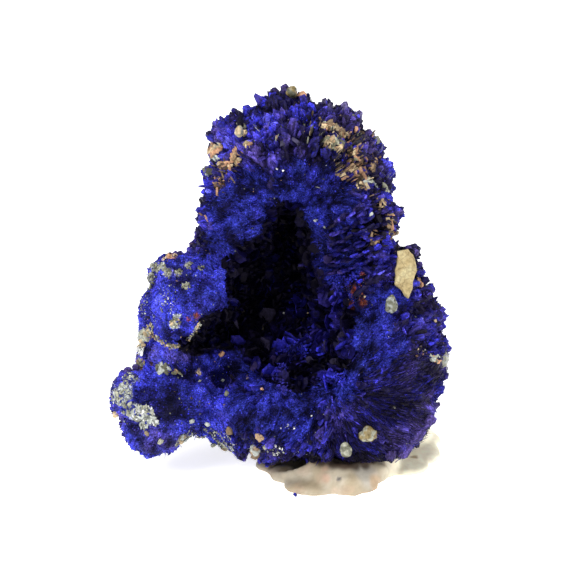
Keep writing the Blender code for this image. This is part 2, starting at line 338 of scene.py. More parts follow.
# The object's points and their normals, in millimetres.
def readCorners(obj):
    count = len(obj.data.vertices)
    points, normals = np.empty(count * 3), np.empty(count * 3)
    obj.data.vertices.foreach_get("co", points)
    obj.data.vertices.foreach_get("normal", normals)
    return points.reshape(-1, 3) / mm, normals.reshape(-1, 3)


noduleTree, hollowTree = treeOf(azuriteNodule), treeOf(hollowForm)


# Where the camera's ray to this place on the face first meets the skin, with the normal there, in millimetres.
def meet(tree, across, up):
    target = Vector((across, stance["faceDepth"], up)) * mm
    point, normal, _, _ = tree.ray_cast(eye, (target - eye).normalized())
    if point is None:
        point, normal, _, _ = tree.find_nearest(target)
    return np.array(point) / mm, np.array(normal)


def onFace(across, up):
    return meet(noduleTree, across, up)


# How much each point lies in any of the round places on the face: (across, up, radius).
def spots(points, places, soft=0.8):
    cover = np.zeros(len(points))
    for across, up, radius in places:
        away = np.linalg.norm(points - onFace(across, up)[0], axis=1) / radius
        cover = np.maximum(cover, 1.0 - ramp(away, 1.0 - soft * 0.6, 1.0 + soft * 0.4))
    return cover


# Places on the face where the growth is matted and fine: across, up and radius in mm.
feltPlaces = (
    (-5.5, 28.2, 2.7), (-9.9, 27.2, 2.7), (-12.4, 25.4, 3.4), (-12.6, 22.0, 3.0), (-1.8, 26.6, 3.0),
    (-0.8, 23.4, 2.2), (-2.6, 28.4, 2.0), (-0.6, 20.0, 2.2), (2.2, 15.4, 2.4), (3.6, 12.2, 2.6),
    (1.6, 10.4, 1.8), (-1.2, 7.6, 2.6), (-6.2, 4.8, 3.4), (-11.2, 6.2, 3.8), (-15.4, 7.0, 3.0),
    (-9.0, 8.2, 2.4), (-17.6, 6.2, 2.4), (4.8, 16.6, 1.4),
)
footPlaces = ((-20.2, 2.7, 1.7), (-18.3, 2.3, 1.5), (-19.4, 1.5, 1.4))
zoneEdges = {  # where each zone begins and where it is full
    "facing": (-0.35, 0.15),  # how squarely a face looks forward
    "leftAcross": (-10.8, -12.8),
    "leftUp": (22.5, 20.5),
    "fanAcross": (-3.2, -0.6),
    "fanUp": (13.0, 9.0),
    "fanAway": (2.0, 3.4),  # from the fan's middle
    "rimAway": (1.6, 3.4),  # from the hollow
    "mattedBehind": (0.56, 0.64),
    "felt": (0.15, 0.65),
}
fanMiddle = (-1.0, 8.6)
hollowReach = 0.45  # skin nearer than this to the hollow's form lines it


# How far each point belongs to each kind of surface, from 0 to 1.
def zonesAt(points, normals):
    across, up = points[:, 0], points[:, 2]
    nearHollow = farFrom(hollowTree, points)
    inFelt = spots(points, feltPlaces, 1.2)
    facing = ramp(-normals[:, 1], *zoneEdges["facing"])
    left = ramp(across, *zoneEdges["leftAcross"]) * ramp(up, *zoneEdges["leftUp"])
    fan = ramp(across, *zoneEdges["fanAcross"]) * ramp(up, *zoneEdges["fanUp"]) * facing
    fan = fan * ramp(np.hypot(across - fanMiddle[0], up - fanMiddle[1]), *zoneEdges["fanAway"])
    felt = facing * np.maximum(0.9 * (1.0 - ramp(nearHollow, *zoneEdges["rimAway"])), inFelt)
    felt = np.maximum(felt, 0.75 * left * facing)
    mattedBehind = ramp(cloud(points, 4.5, 33.0), *zoneEdges["mattedBehind"])
    felt = np.maximum(felt, 0.8 * mattedBehind * (1.0 - facing))
    felt = ramp(felt, *zoneEdges["felt"])
    return {
        "hollow": (nearHollow < hollowReach) * 1.0,
        "nearHollow": nearHollow,
        "facing": facing,
        "left": left,
        "fan": fan * (1.0 - 0.8 * inFelt),
        "felt": felt * (nearHollow >= hollowReach),
        "foot": spots(points, footPlaces, 0.7),
    }


# Raises the lumps: long along the sprays on the crown and the sides, low where the growth is matted.
def shapeSkin(form):
    points, normals = readCorners(form)
    zones = zonesAt(points, normals)
    matted = np.maximum(0.75 * zones["felt"] * (1.0 - 0.3 * zones["left"]), 0.75 * zones["fan"])
    drawn = alongSprays(points)
    heights = {}
    for name, where in (("knobs", drawn), ("ridges", drawn), ("beads", points)):
        heights[name] = domes(where, nodule[name][0], 3.0 + 8.0 * len(heights))
        rounded = domes(points, 1.3 * nodule[name][0], 43.0 + 8.0 * len(heights))
        heights[name] = between((heights[name], rounded), zones["left"])
    worn = (1.0 - zones["hollow"]) * (1.0 - nodule["wornFoot"] * zones["foot"])
    offFelt, offFan = 1.0 - nodule["flatFelt"] * zones["felt"], 1.0 - nodule["flatFan"] * zones["fan"]
    rise = (heights["knobs"] - 0.5) * nodule["knobs"][1] * (1.0 - matted) * worn
    rise += (heights["ridges"] - 0.5) * nodule["ridges"][1] * offFelt * offFan * worn
    rise += (heights["beads"] - 0.5) * nodule["beads"][1] * offFan * worn
    for name, zone, shift in (("footLumps", "foot", 51.0), ("hollowRidges", "hollow", 7.0)):
        size, height = nodule[name]
        rise += (domes(points, size, shift) - 0.5) * height * zones[zone]
    moved = (points + normals * rise[:, None]) * mm
    form.data.vertices.foreach_set("co", moved.ravel())
    form.data.update()
    return 0.62 * heights["knobs"] + 0.28 * heights["ridges"] + 0.10 * heights["beads"]


# The mean over each face of a value held at its corners.
def faceMeans(form, values):
    corners = np.empty(len(form.data.loops), dtype=np.int32)
    starts, totals = (np.empty(len(form.data.polygons), dtype=np.int32) for _ in range(2))
    form.data.loops.foreach_get("vertex_index", corners)
    form.data.polygons.foreach_get("loop_start", starts)
    form.data.polygons.foreach_get("loop_total", totals)
    return np.add.reduceat(values[corners], starts) / totals


skinRise = shapeSkin(azuriteNodule)
noduleTree = treeOf(azuriteNodule)
skinPoints, skinNormals, skinAreas = readSkin(azuriteNodule)
zones = zonesAt(skinPoints, skinNormals)
crest = faceMeans(azuriteNodule, skinRise)
print("skin area", round(float(skinAreas.sum())), "mm2,", len(azuriteNodule.data.polygons), "faces")


# Faces drawn at random by weight, no two nearer than the gap, and no more than the most.
def spaced(weights, gap, rng, most=math.inf):
    chance = weights * skinAreas
    keep = np.nonzero(rng.random(len(chance)) < chance / np.percentile(skinAreas, 90))[0]
    rng.shuffle(keep)
    taken, chosen = {}, []
    cells = np.floor(skinPoints / gap).astype(int)
    near = [(i, j, k) for i in (-1, 0, 1) for j in (-1, 0, 1) for k in (-1, 0, 1)]
    for index in keep:
        point, (a, b, c) = skinPoints[index], cells[index]
        crowded = False
        for i, j, k in near:
            other = taken.get((a + i, b + j, c + k))
            if other is not None and ((skinPoints[other] - point) ** 2).sum() < gap * gap:
                crowded = True
                break
        if not crowded:
            taken[(a, b, c)] = index
            chosen.append(index)
            if len(chosen) >= most:
                break
    return np.array(chosen, dtype=int)


# Faces drawn at random by weight and area, so many to the square millimetre.
def strewn(weights, perArea, rng):
    return np.repeat(np.arange(len(weights)), rng.poisson(weights * skinAreas * perArea))


# Colour of the crystals.

palette = {
    "ink": (0.0016, 0.0012, 0.007),
    "navy": (0.0055, 0.0045, 0.058),
    "royal": (0.016, 0.016, 0.25),
    "bright": (0.042, 0.042, 0.66),
    "pale": (0.14, 0.15, 0.90),
    "azure": (0.021, 0.030, 0.25),
    "violet": (0.085, 0.058, 0.26),
    "dusk": (0.060, 0.050, 0.12),
    "chalk": (0.47, 0.50, 0.46),
    "lichen": (0.40, 0.40, 0.30),
    "cream": (0.60, 0.46, 0.27),
    "clay": (0.55, 0.30, 0.17),
    "tan": (0.38, 0.25, 0.14),
    "rust": (0.20, 0.042, 0.02),
    "brown": (0.09, 0.05, 0.03),
    "white": (0.80, 0.80, 0.80),
    "moss": (0.15, 0.15, 0.095),
    "honey": (0.27, 0.20, 0.075),
}
blues = ("ink", "navy", "royal", "bright", "pale")

# Places on the face: across, up and radius in mm.
patches = {
    "chalk": (
        (-22.8, 7.1, 1.3), (-21.9, 8.6, 0.9), (-21.6, 5.1, 1.1), (-20.4, 4.9, 1.1), (-18.9, 9.6, 0.6),
        (-20.9, 11.4, 0.7), (-17.3, 14.8, 0.4), (-17.6, 13.9, 0.6), (-16.6, 2.6, 0.7), (-12.9, 2.2, 0.6),
        (-9.9, 0.9, 0.5), (-11.9, 1.6, 0.4),
    ),
    "lichen": (
        (-19.2, 19.6, 0.7), (-19.9, 18.7, 0.5), (-18.2, 19.2, 0.5), (-16.2, 20.0, 0.4), (-17.2, 19.1, 0.4),
        (-16.5, 17.9, 0.4), (-17.2, 2.2, 0.6), (-13.0, 1.0, 0.9),
    ),
    "cream": ((-20.5, 12.9, 0.7), (-15.1, 9.2, 0.4), (-16.6, 11.6, 0.4), (-14.8, 13.4, 0.35), (-18.6, 20.6, 0.4)),
    "clay": (
        (-13.4, 31.7, 0.9), (-13.7, 31.0, 0.6), (-11.3, 30.6, 0.8), (-12.5, 29.9, 0.8), (-10.2, 32.0, 0.4),
        (-13.1, 27.9, 0.5), (-1.3, 33.4, 0.7), (-0.4, 32.1, 0.8), (0.8, 33.2, 0.6), (0.2, 30.6, 0.7),
        (1.0, 30.0, 0.7), (-0.2, 29.3, 0.6), (3.9, 22.9, 0.6), (3.6, 24.0, 0.4), (2.4, 22.2, 0.5), (-5.0, 37.4, 0.5),
        (-18.0, 20.8, 0.6),
    ),
    "brown": ((-20.8, 9.9, 0.6), (-19.8, 10.1, 0.4), (2.2, 22.4, 0.9), (-12.9, 27.8, 0.8), (1.0, 28.6, 1.0)),
    "rust": (
        (1.4, 18.9, 0.5), (1.0, 18.4, 0.4), (-0.2, 18.1, 0.4), (1.4, 16.2, 0.5), (0.4, 17.4, 0.6), (0.1, 15.9, 0.5),
        (-15.4, 14.8, 0.34), (-16.2, 14.5, 0.22),
    ),
}
# Most shifts are the mineral's own tone; some are painted shade: the groove on the left neck at (-13.8, 21.2), the
# crease at (0.4, 9.5) and the shadow along the bottom edge above the putty, from (-3.8, 0.7) to (1.8, 1.1).
tintAndPaintedShadeShifts = (  # across, up, radius, lighter or darker
    (-19.2, 15.6, 2.0, 0.20), (-19.4, 13.2, 1.4, 0.20), (-12.8, 23.4, 2.0, 0.10), (-20.8, 8.0, 1.6, 0.12),
    (2.2, 13.6, 1.8, 0.12), (-0.8, 8.0, 1.4, 0.10), (-5.0, 28.4, 2.2, 0.08), (-15.0, 7.4, 0.4, 0.30),
    (-10.8, 33.8, 2.0, 0.20), (-7.6, 34.8, 2.2, 0.18), (-4.0, 34.4, 1.8, 0.12), (-12.4, 32.6, 1.4, 0.10),
    (5.4, 5.2, 3.0, -0.14), (8.6, 11.0, 2.0, 0.02), (4.4, 14.4, 2.2, 0.10), (3.2, 24.4, 2.2, -0.18),
    (-1.4, 22.4, 1.6, -0.06), (-7.0, 3.0, 2.0, -0.02), (1.0, 2.0, 2.4, -0.12), (-9.4, 2.2, 1.4, 0.08),
    (-15.2, 19.6, 1.4, -0.06), (-18.4, 6.2, 3.0, -0.30), (1.2, 29.2, 1.8, -0.22), (-5.0, 31.0, 4.0, -0.12),
    (-19.6, 2.4, 2.2, -0.24), (-12.0, 5.0, 2.0, -0.05), (-10.8, 1.4, 1.3, 0.26), (-13.6, 16.4, 2.0, -0.10),
    (-2.4, 32.6, 2.0, -0.12), (-12.0, 26.6, 1.6, -0.10), (2.6, 28.8, 2.2, -0.14),
    (-5.4, 32.0, 1.6, -0.10), (-3.8, 0.7, 1.1, -0.40), (-1.8, 0.4, 1.3, -0.45), (0.2, 0.6, 1.2, -0.40),
    (1.8, 1.1, 0.8, -0.25), (0.4, 9.5, 1.0, -0.16), (-13.8, 21.2, 1.8, -0.16), (-9.7, 30.4, 1.4, -0.14),
    (0.6, 22.8, 1.8, -0.12), (-9.6, 10.4, 1.4, -0.20), (-9.4, 5.2, 1.6, 0.08), (4.6, 7.4, 1.6, -0.08),
    (-17.2, 15.6, 1.2, 0.06), (-19.8, 19.0, 1.2, 0.06), (-16.0, 8.6, 1.6, -0.10), (-11.8, 9.2, 1.4, -0.12),
)
# Places painted violet: partly the mineral's own violet, partly painted rim light along the outline at the foot, the
# lower right and the left edge, and painted highlights on the crown: across, up and radius.
violetAndRimLightPlaces = (
    (-20.0, 2.6, 1.8), (-18.2, 2.0, 1.6), (7.6, 6.2, 1.5), (6.6, 3.8, 1.5), (4.6, 2.4, 1.8), (8.6, 9.4, 1.2),
    (-22.8, 4.6, 1.2), (2.0, 31.0, 2.4), (-13.6, 33.0, 1.6), (-21.6, 10.2, 1.2), (-0.4, 34.6, 1.6),
    (-19.6, 10.9, 1.0), (-17.8, 10.9, 1.0), (-16.4, 11.0, 0.9), (-9.6, 31.0, 1.2), (-23.8, 7.0, 0.9),
)


# Patches of the pale rock that the azurite grew on, which show only behind.
def matrixBehind(points):
    return ramp(points[:, 1], 6.5, 10.0) * ramp(cloud(points, 3.4, 47.0), 0.58, 0.66)


def blend(colours, other, share):
    return colours * (1.0 - share[:, None]) + np.array(other) * share[:, None]


colouring = {
    "mottle": 0.60,  # how far the tint wanders from place to place
    "bloomScatter": 0.16,
    "mostBloom": 0.75,
    "placedBloom": 0.85,
    "violetLight": (0.15, 1.3),  # its brightness on ink, and what a lighter blue adds
    "azureLight": (0.12, 1.5),
    "litLevels": (0.6, 2.6),
    "mostAzure": 0.9,
    "behind": {"tan": (0.8, 1.1, 57.0, 0.35, 0.6), "lichen": (0.7, 0.9, 67.0, 0.55, 0.7)},  # share, then its noise
}


# A colour for each crystal: a blue by its tint, then the violet bloom, with the placed violet partly painted rim
# light and highlights, the azure felt and the flecks of rock.
def colourOf(points, tint, rng, flecks=1.0, azure=0.0, dusky=1.0):
    mottle = cloud(points, 2.2, 3.0) + 0.7 * cloud(points, 0.8, 21.0) - 0.85
    level = tint + colouring["mottle"] * mottle
    # The placed shifts: the mineral's own tone, and painted shade in a groove, a crease and along the bottom edge.
    for across, up, radius, shift in tintAndPaintedShadeShifts:
        level = level + shift * spots(points, ((across, up, radius),), 1.4)
    level = np.clip(level, 0.0, 1.0) * (len(blues) - 1)
    stops = np.array([palette[name] for name in blues])
    colours = np.stack([np.interp(level, range(len(blues)), stops[:, channel]) for channel in range(3)], 1)
    light = ramp(level, *colouring["litLevels"])[:, None]

    bloom = 1.5 * cloud(points, 3.0, 17.0) - 0.62 + rng.normal(0.0, colouring["bloomScatter"], len(points))
    bloom = np.clip(bloom, 0.0, colouring["mostBloom"]) * dusky * (1.0 - 0.8 * azure)
    # Placed violet: partly painted rim light and highlights.
    bloom = np.maximum(bloom, colouring["placedBloom"] * spots(points, violetAndRimLightPlaces, 1.2))
    dark, added = colouring["violetLight"]
    colours = blend(colours, np.array(palette["violet"]) * (dark + added * light), bloom)

    matted = azure * (0.35 + 0.9 * (cloud(points, 1.1, 27.0) - 0.3))
    dark, added = colouring["azureLight"]
    matted = np.clip(matted, 0.0, colouring["mostAzure"]) * np.ones(len(points))
    colours = blend(colours, np.array(palette["azure"]) * (dark + added * light), matted)

    if flecks > 0.0:
        grit = cloud(points, 0.42, 9.0)
        behind = matrixBehind(points) * ramp(grit, 0.35, 0.6)
        for name, (most, size, shift, low, high) in colouring["behind"].items():
            share = most * flecks * behind * ramp(cloud(points, size, shift), low, high)
            colours = blend(colours, palette[name], share)
        for name, places in patches.items():
            share = np.clip(2.6 * (spots(points, places, 1.0) - 0.25 - 1.8 * np.abs(grit - 0.45)), 0.0, 1.0)
            colours = blend(colours, palette[name], share * flecks)
    return colours


# Crystal shapes.


# Enters edit mode with only the upward face picked.
def pickTop(obj):
    bpy.ops.object.mode_set(mode="EDIT")
    bpy.ops.mesh.select_mode(type="FACE")
    bpy.ops.mesh.select_all(action="DESELECT")
    bpy.ops.object.mode_set(mode="OBJECT")
    for face in obj.data.polygons:
        face.select = face.normal.z > 0.9
    bpy.ops.object.mode_set(mode="EDIT")


# The object's points and triangles as arrays, the triangles always in one order. The object is removed.
def takeTemplate(obj):
    mesh = obj.data
    mesh.calc_loop_triangles()
    points = np.array([vertex.co for vertex in mesh.vertices])
    triangles = np.array(sorted(tuple(triangle.vertices) for triangle in mesh.loop_triangles))
    discard(obj)
    return points, triangles


# A flat blade with a chisel tip, one unit high, wide (x) and thick (y).
def modelBlade(shoulder=0.88, ridge=0.82, edge=0.45, root=0.75):
    pickNone()
    bpy.ops.mesh.primitive_cube_add(size=1.0, location=(0.0, 0.0, 0.5))
    blade = settled()
    for vertex in blade.data.vertices:
        if vertex.co.z > 0.5:
            vertex.co.z = shoulder
        else:
            vertex.co.x *= root
            vertex.co.y *= root
    pickTop(blade)
    bpy.ops.mesh.extrude_region_move(TRANSFORM_OT_translate={"value": (0.0, 0.0, 1.0 - shoulder)})
    bpy.ops.transform.resize(value=(ridge, edge, 1.0))
    bpy.ops.object.mode_set(mode="OBJECT")
    return takeTemplate(blade)


# A blunt crystal with worn edges, one unit high, wide (x) and thick (y).
def modelBlock(tipWidth=0.84, tipThickness=0.82, root=0.8, wear=0.22):
    pickNone()
    bpy.ops.mesh.primitive_cube_add(size=1.0, location=(0.0, 0.0, 0.5))
    block = settled()
    for vertex in block.data.vertices:
        if vertex.co.z > 0.5:
            vertex.co.x *= tipWidth
            vertex.co.y *= tipThickness
        else:
            vertex.co.x *= root
            vertex.co.y *= root
    worn = block.modifiers.new("worn", "BEVEL")
    worn.width = wear
    worn.segments = 1
    applyAll(block)
    return takeTemplate(block)


# A six-sided table with sloping edges that stands on one edge, one unit high and thick (y).
def modelPlate(smallSide=0.8):
    pickNone()
    bpy.ops.mesh.primitive_cylinder_add(vertices=6, radius=0.5, depth=1.0, rotation=(math.pi / 2, 0.0, 0.0))
    plate = settled()
    for vertex in plate.data.vertices:
        if vertex.co.y < 0.0:
            vertex.co.x *= smallSide
            vertex.co.z *= smallSide
        vertex.co.z += 0.5
    return takeTemplate(plate)


# A three-sided needle, one unit long.
def modelNeedle():
    pickNone()
    bpy.ops.mesh.primitive_cone_add(vertices=3, radius1=0.5, radius2=0.0, depth=1.0, location=(0.0, 0.0, 0.5))
    return takeTemplate(settled())


# An eight-faced grain, one unit across.
def modelGem():
    corners = 0.5 * np.array(((1, 0, 0), (0, 1, 0), (-1, 0, 0), (0, -1, 0), (0, 0, 1), (0, 0, -1)))
    upper = [(i, (i + 1) % 4, 4) for i in range(4)]
    return corners, np.array(upper + [(j, i, 5) for i, j, _ in upper])


# A rough ball, one unit across.
def modelPebble(subdivisions, roughness=0.35, fineness=2.6):
    pickNone()
    bpy.ops.mesh.primitive_ico_sphere_add(subdivisions=subdivisions, radius=0.5)
    pebble = bpy.context.object
    for vertex in pebble.data.vertices:
        vertex.co *= 1.0 + roughness * noise.noise(vertex.co * fineness)
    return takeTemplate(pebble)


# A rounded, blunt crystal that stands on its root, one unit high, wide (x) and thick (y).
def modelBud(turnX=0.62, turnY=0.35, squareness=(0.8, 0.8, 0.65)):
    points, triangles = modelPebble(1)
    points = points @ np.array(Matrix.Rotation(turnX, 3, "X") @ Matrix.Rotation(turnY, 3, "Y"))
    points = np.sign(points) * 0.5 * (2.0 * np.abs(points)) ** squareness
    return points + (0.0, 0.0, 0.5), triangles


bladeShape, blockShape, plateShape, needleShape = modelBlade(), modelBlock(), modelPlate(), modelNeedle()
gemShape, gritShape, pebbleShape, budShape = modelGem(), modelPebble(1), modelPebble(2), modelBud()
mostTriangles = 190000  # in one mesh
streakFrame = {"drawnOut": (1.0, 1.0, 0.3), "scattered": 60.0}  # so that streaks run along each crystal


# Meshes with a copy of the template at each place: axes is its long way, sides its thin way.
def grow(name, template, places, axes, sides, sizes, colours, rng, jitter=0.1, rootPaintedShade=1.0):
    points, triangles = template
    most = mostTriangles // len(triangles)
    pieces = -(-len(places) // most)
    made = []
    for number, part in enumerate(np.array_split(np.argsort(places[:, 2], kind="stable"), pieces)):
        label = name if pieces == 1 else f"{name}{number + 1}"
        corners = len(points)
        across = unit(np.cross(sides[part], axes[part]))
        local = points[None] * (1.0 + jitter * rng.uniform(-1.0, 1.0, (len(part), corners, 3)))
        scaled = local * sizes[part][:, None]
        spread = (
            scaled[..., 0:1] * across[:, None]
            + scaled[..., 1:2] * sides[part][:, None]
            + scaled[..., 2:3] * axes[part][:, None]
            + places[part][:, None]
        )
        mesh = bpy.data.meshes.new(label)
        faces = triangles[None] + (np.arange(len(part)) * corners)[:, None, None]
        mesh.from_pydata((spread * mm).reshape(-1, 3).tolist(), [], faces.reshape(-1, 3).tolist())
        # Painted shade: each copy's colour darkens towards its root, standing in for the shade in the gaps between
        # crystals.
        shade = between((rootPaintedShade, 1.0), np.clip(points[:, 2], 0.0, 1.0))
        rootShadedColours = colours[part][:, None] * shade[None, :, None]
        moved = rng.uniform(0.0, streakFrame["scattered"], (len(part), 1, 3))
        streaks = scaled * np.array(streakFrame["drawnOut"]) + moved
        paint(mesh, rootShadedColours.reshape(-1, 3), streaks.reshape(-1, 3))
        made.append(linked(label, mesh))
    return made


# Stores each point's colour and, where given, the frame that its fine streaks are drawn in.
def paint(mesh, colours, streaks=None):
    layer = mesh.attributes.new("growth", "FLOAT_COLOR", "POINT")
    layer.data.foreach_set("color", np.c_[colours, np.ones(len(colours))].astype(np.float32).ravel())
    if streaks is not None:
        frameLayer = mesh.attributes.new("streak", "FLOAT_VECTOR", "POINT")
        frameLayer.data.foreach_set("vector", streaks.astype(np.float32).ravel())


# Long ways for crystals that radiate from these points, and their thin ways.
def aim(points, normals, normalShare, scatter, rng):
    axes = unit(outward(points) + normals * normalShare + rng.normal(0.0, scatter, points.shape))
    sunk = (axes * normals).sum(1) < 0.15
    axes[sunk] = unit(axes[sunk] + normals[sunk] * 0.5)
    return axes, square(axes, normals)


def turnAbout(axes, sides, angles):
    return sides * np.cos(angles)[:, None] + np.cross(axes, sides) * np.sin(angles)[:, None]


# The rows of each column that are kept.
def kept(keep, *columns):
    return [column[keep] for column in columns]


# Rows of places, ways, sizes and the like, turned into one array for each.
def columnsOf(rows):
    return [np.array(column) for column in zip(*rows)]


# True where neither end reaches down to the table.
def liftedOff(places, tips, floorHeight=0.35):
    rows = np.array(leanPose)[2]
    heights = [ends @ rows[:3] + rows[3] / mm for ends in (places, tips)]
    return np.minimum(*heights) > floorHeight


# What lies on the azurite.

# Single crumbs on the face: across, up, half across, half up, colour.
crumbs = (
    (-10.8, 33.5, 0.60, 0.55, "lichen"), (-10.4, 33.1, 0.40, 0.40, "cream"), (3.4, 27.6, 0.30, 0.45, "lichen"),
    (1.9, 28.4, 0.30, 0.30, "lichen"), (2.6, 27.8, 0.25, 0.20, "chalk"), (-5.0, 37.3, 0.45, 0.45, "clay"),
    (-12.8, 11.0, 0.22, 0.35, "clay"), (-10.2, 8.5, 0.20, 0.16, "tan"), (-8.9, 7.4, 0.22, 0.22, "clay"),
    (-6.3, 7.7, 0.15, 0.15, "white"), (-6.6, 15.1, 0.12, 0.12, "white"), (-5.5, 13.0, 0.12, 0.12, "white"),
    (-7.7, 11.0, 0.18, 0.12, "white"), (-3.5, 24.4, 0.24, 0.22, "chalk"), (-2.5, 23.8, 0.16, 0.16, "chalk"),
    # (-7.2, 29.6) and (-6.7, 29.5): white crumbs that are painted glints.
    (-7.2, 29.6, 0.16, 0.12, "white"), (-6.7, 29.5, 0.16, 0.12, "white"), (-10.8, 20.9, 0.10, 0.10, "tan"),
    (-12.0, 3.4, 0.32, 0.42, "tan"), (-9.0, 2.7, 0.34, 0.45, "tan"), (-8.4, 1.9, 0.35, 0.30, "lichen"),
    (-9.3, 1.0, 0.38, 0.68, "tan"), (-20.3, 3.1, 0.30, 0.18, "cream"), (-18.9, 2.3, 0.28, 0.35, "lichen"),
    (-23.4, 5.0, 0.30, 0.42, "cream"), (-17.3, 9.4, 0.25, 0.14, "tan"), (-15.0, 8.2, 0.18, 0.16, "lichen"),
    (-12.7, 8.4, 0.25, 0.16, "chalk"), (-12.2, 7.0, 0.20, 0.30, "moss"), (0.3, 34.8, 0.20, 0.20, "lichen"),
    (4.2, 33.0, 0.40, 0.35, "lichen"), (8.0, 10.8, 0.28, 0.20, "lichen"), (7.0, 11.6, 0.22, 0.14, "cream"),
    (6.6, 10.9, 0.18, 0.12, "clay"), (8.5, 14.2, 0.24, 0.20, "cream"), (4.4, 5.6, 0.15, 0.15, "lichen"),
    (7.0, 18.0, 0.16, 0.30, "clay"), (1.6, 16.7, 0.12, 0.14, "cream"),
    (-15.8, 4.4, 0.30, 0.20, "chalk"), (-14.2, 4.1, 0.30, 0.16, "chalk"), (-4.1, 15.2, 0.12, 0.20, "cream"),
    (-13.6, 2.0, 0.3, 0.2, "lichen"), (8.2, 10.4, 0.3, 0.25, "chalk"), (-2.6, 5.1, 0.12, 0.12, "white"),
    (-6.9, 3.7, 0.12, 0.12, "white"), (-5.6, 3.5, 0.10, 0.16, "white"), (-3.9, 4.9, 0.14, 0.10, "white"),
    (3.4, 34.2, 0.2, 0.2, "moss"), (-14.6, 29.0, 0.35, 0.2, "chalk"), (5.4, 22.6, 0.16, 0.3, "cream"),
)

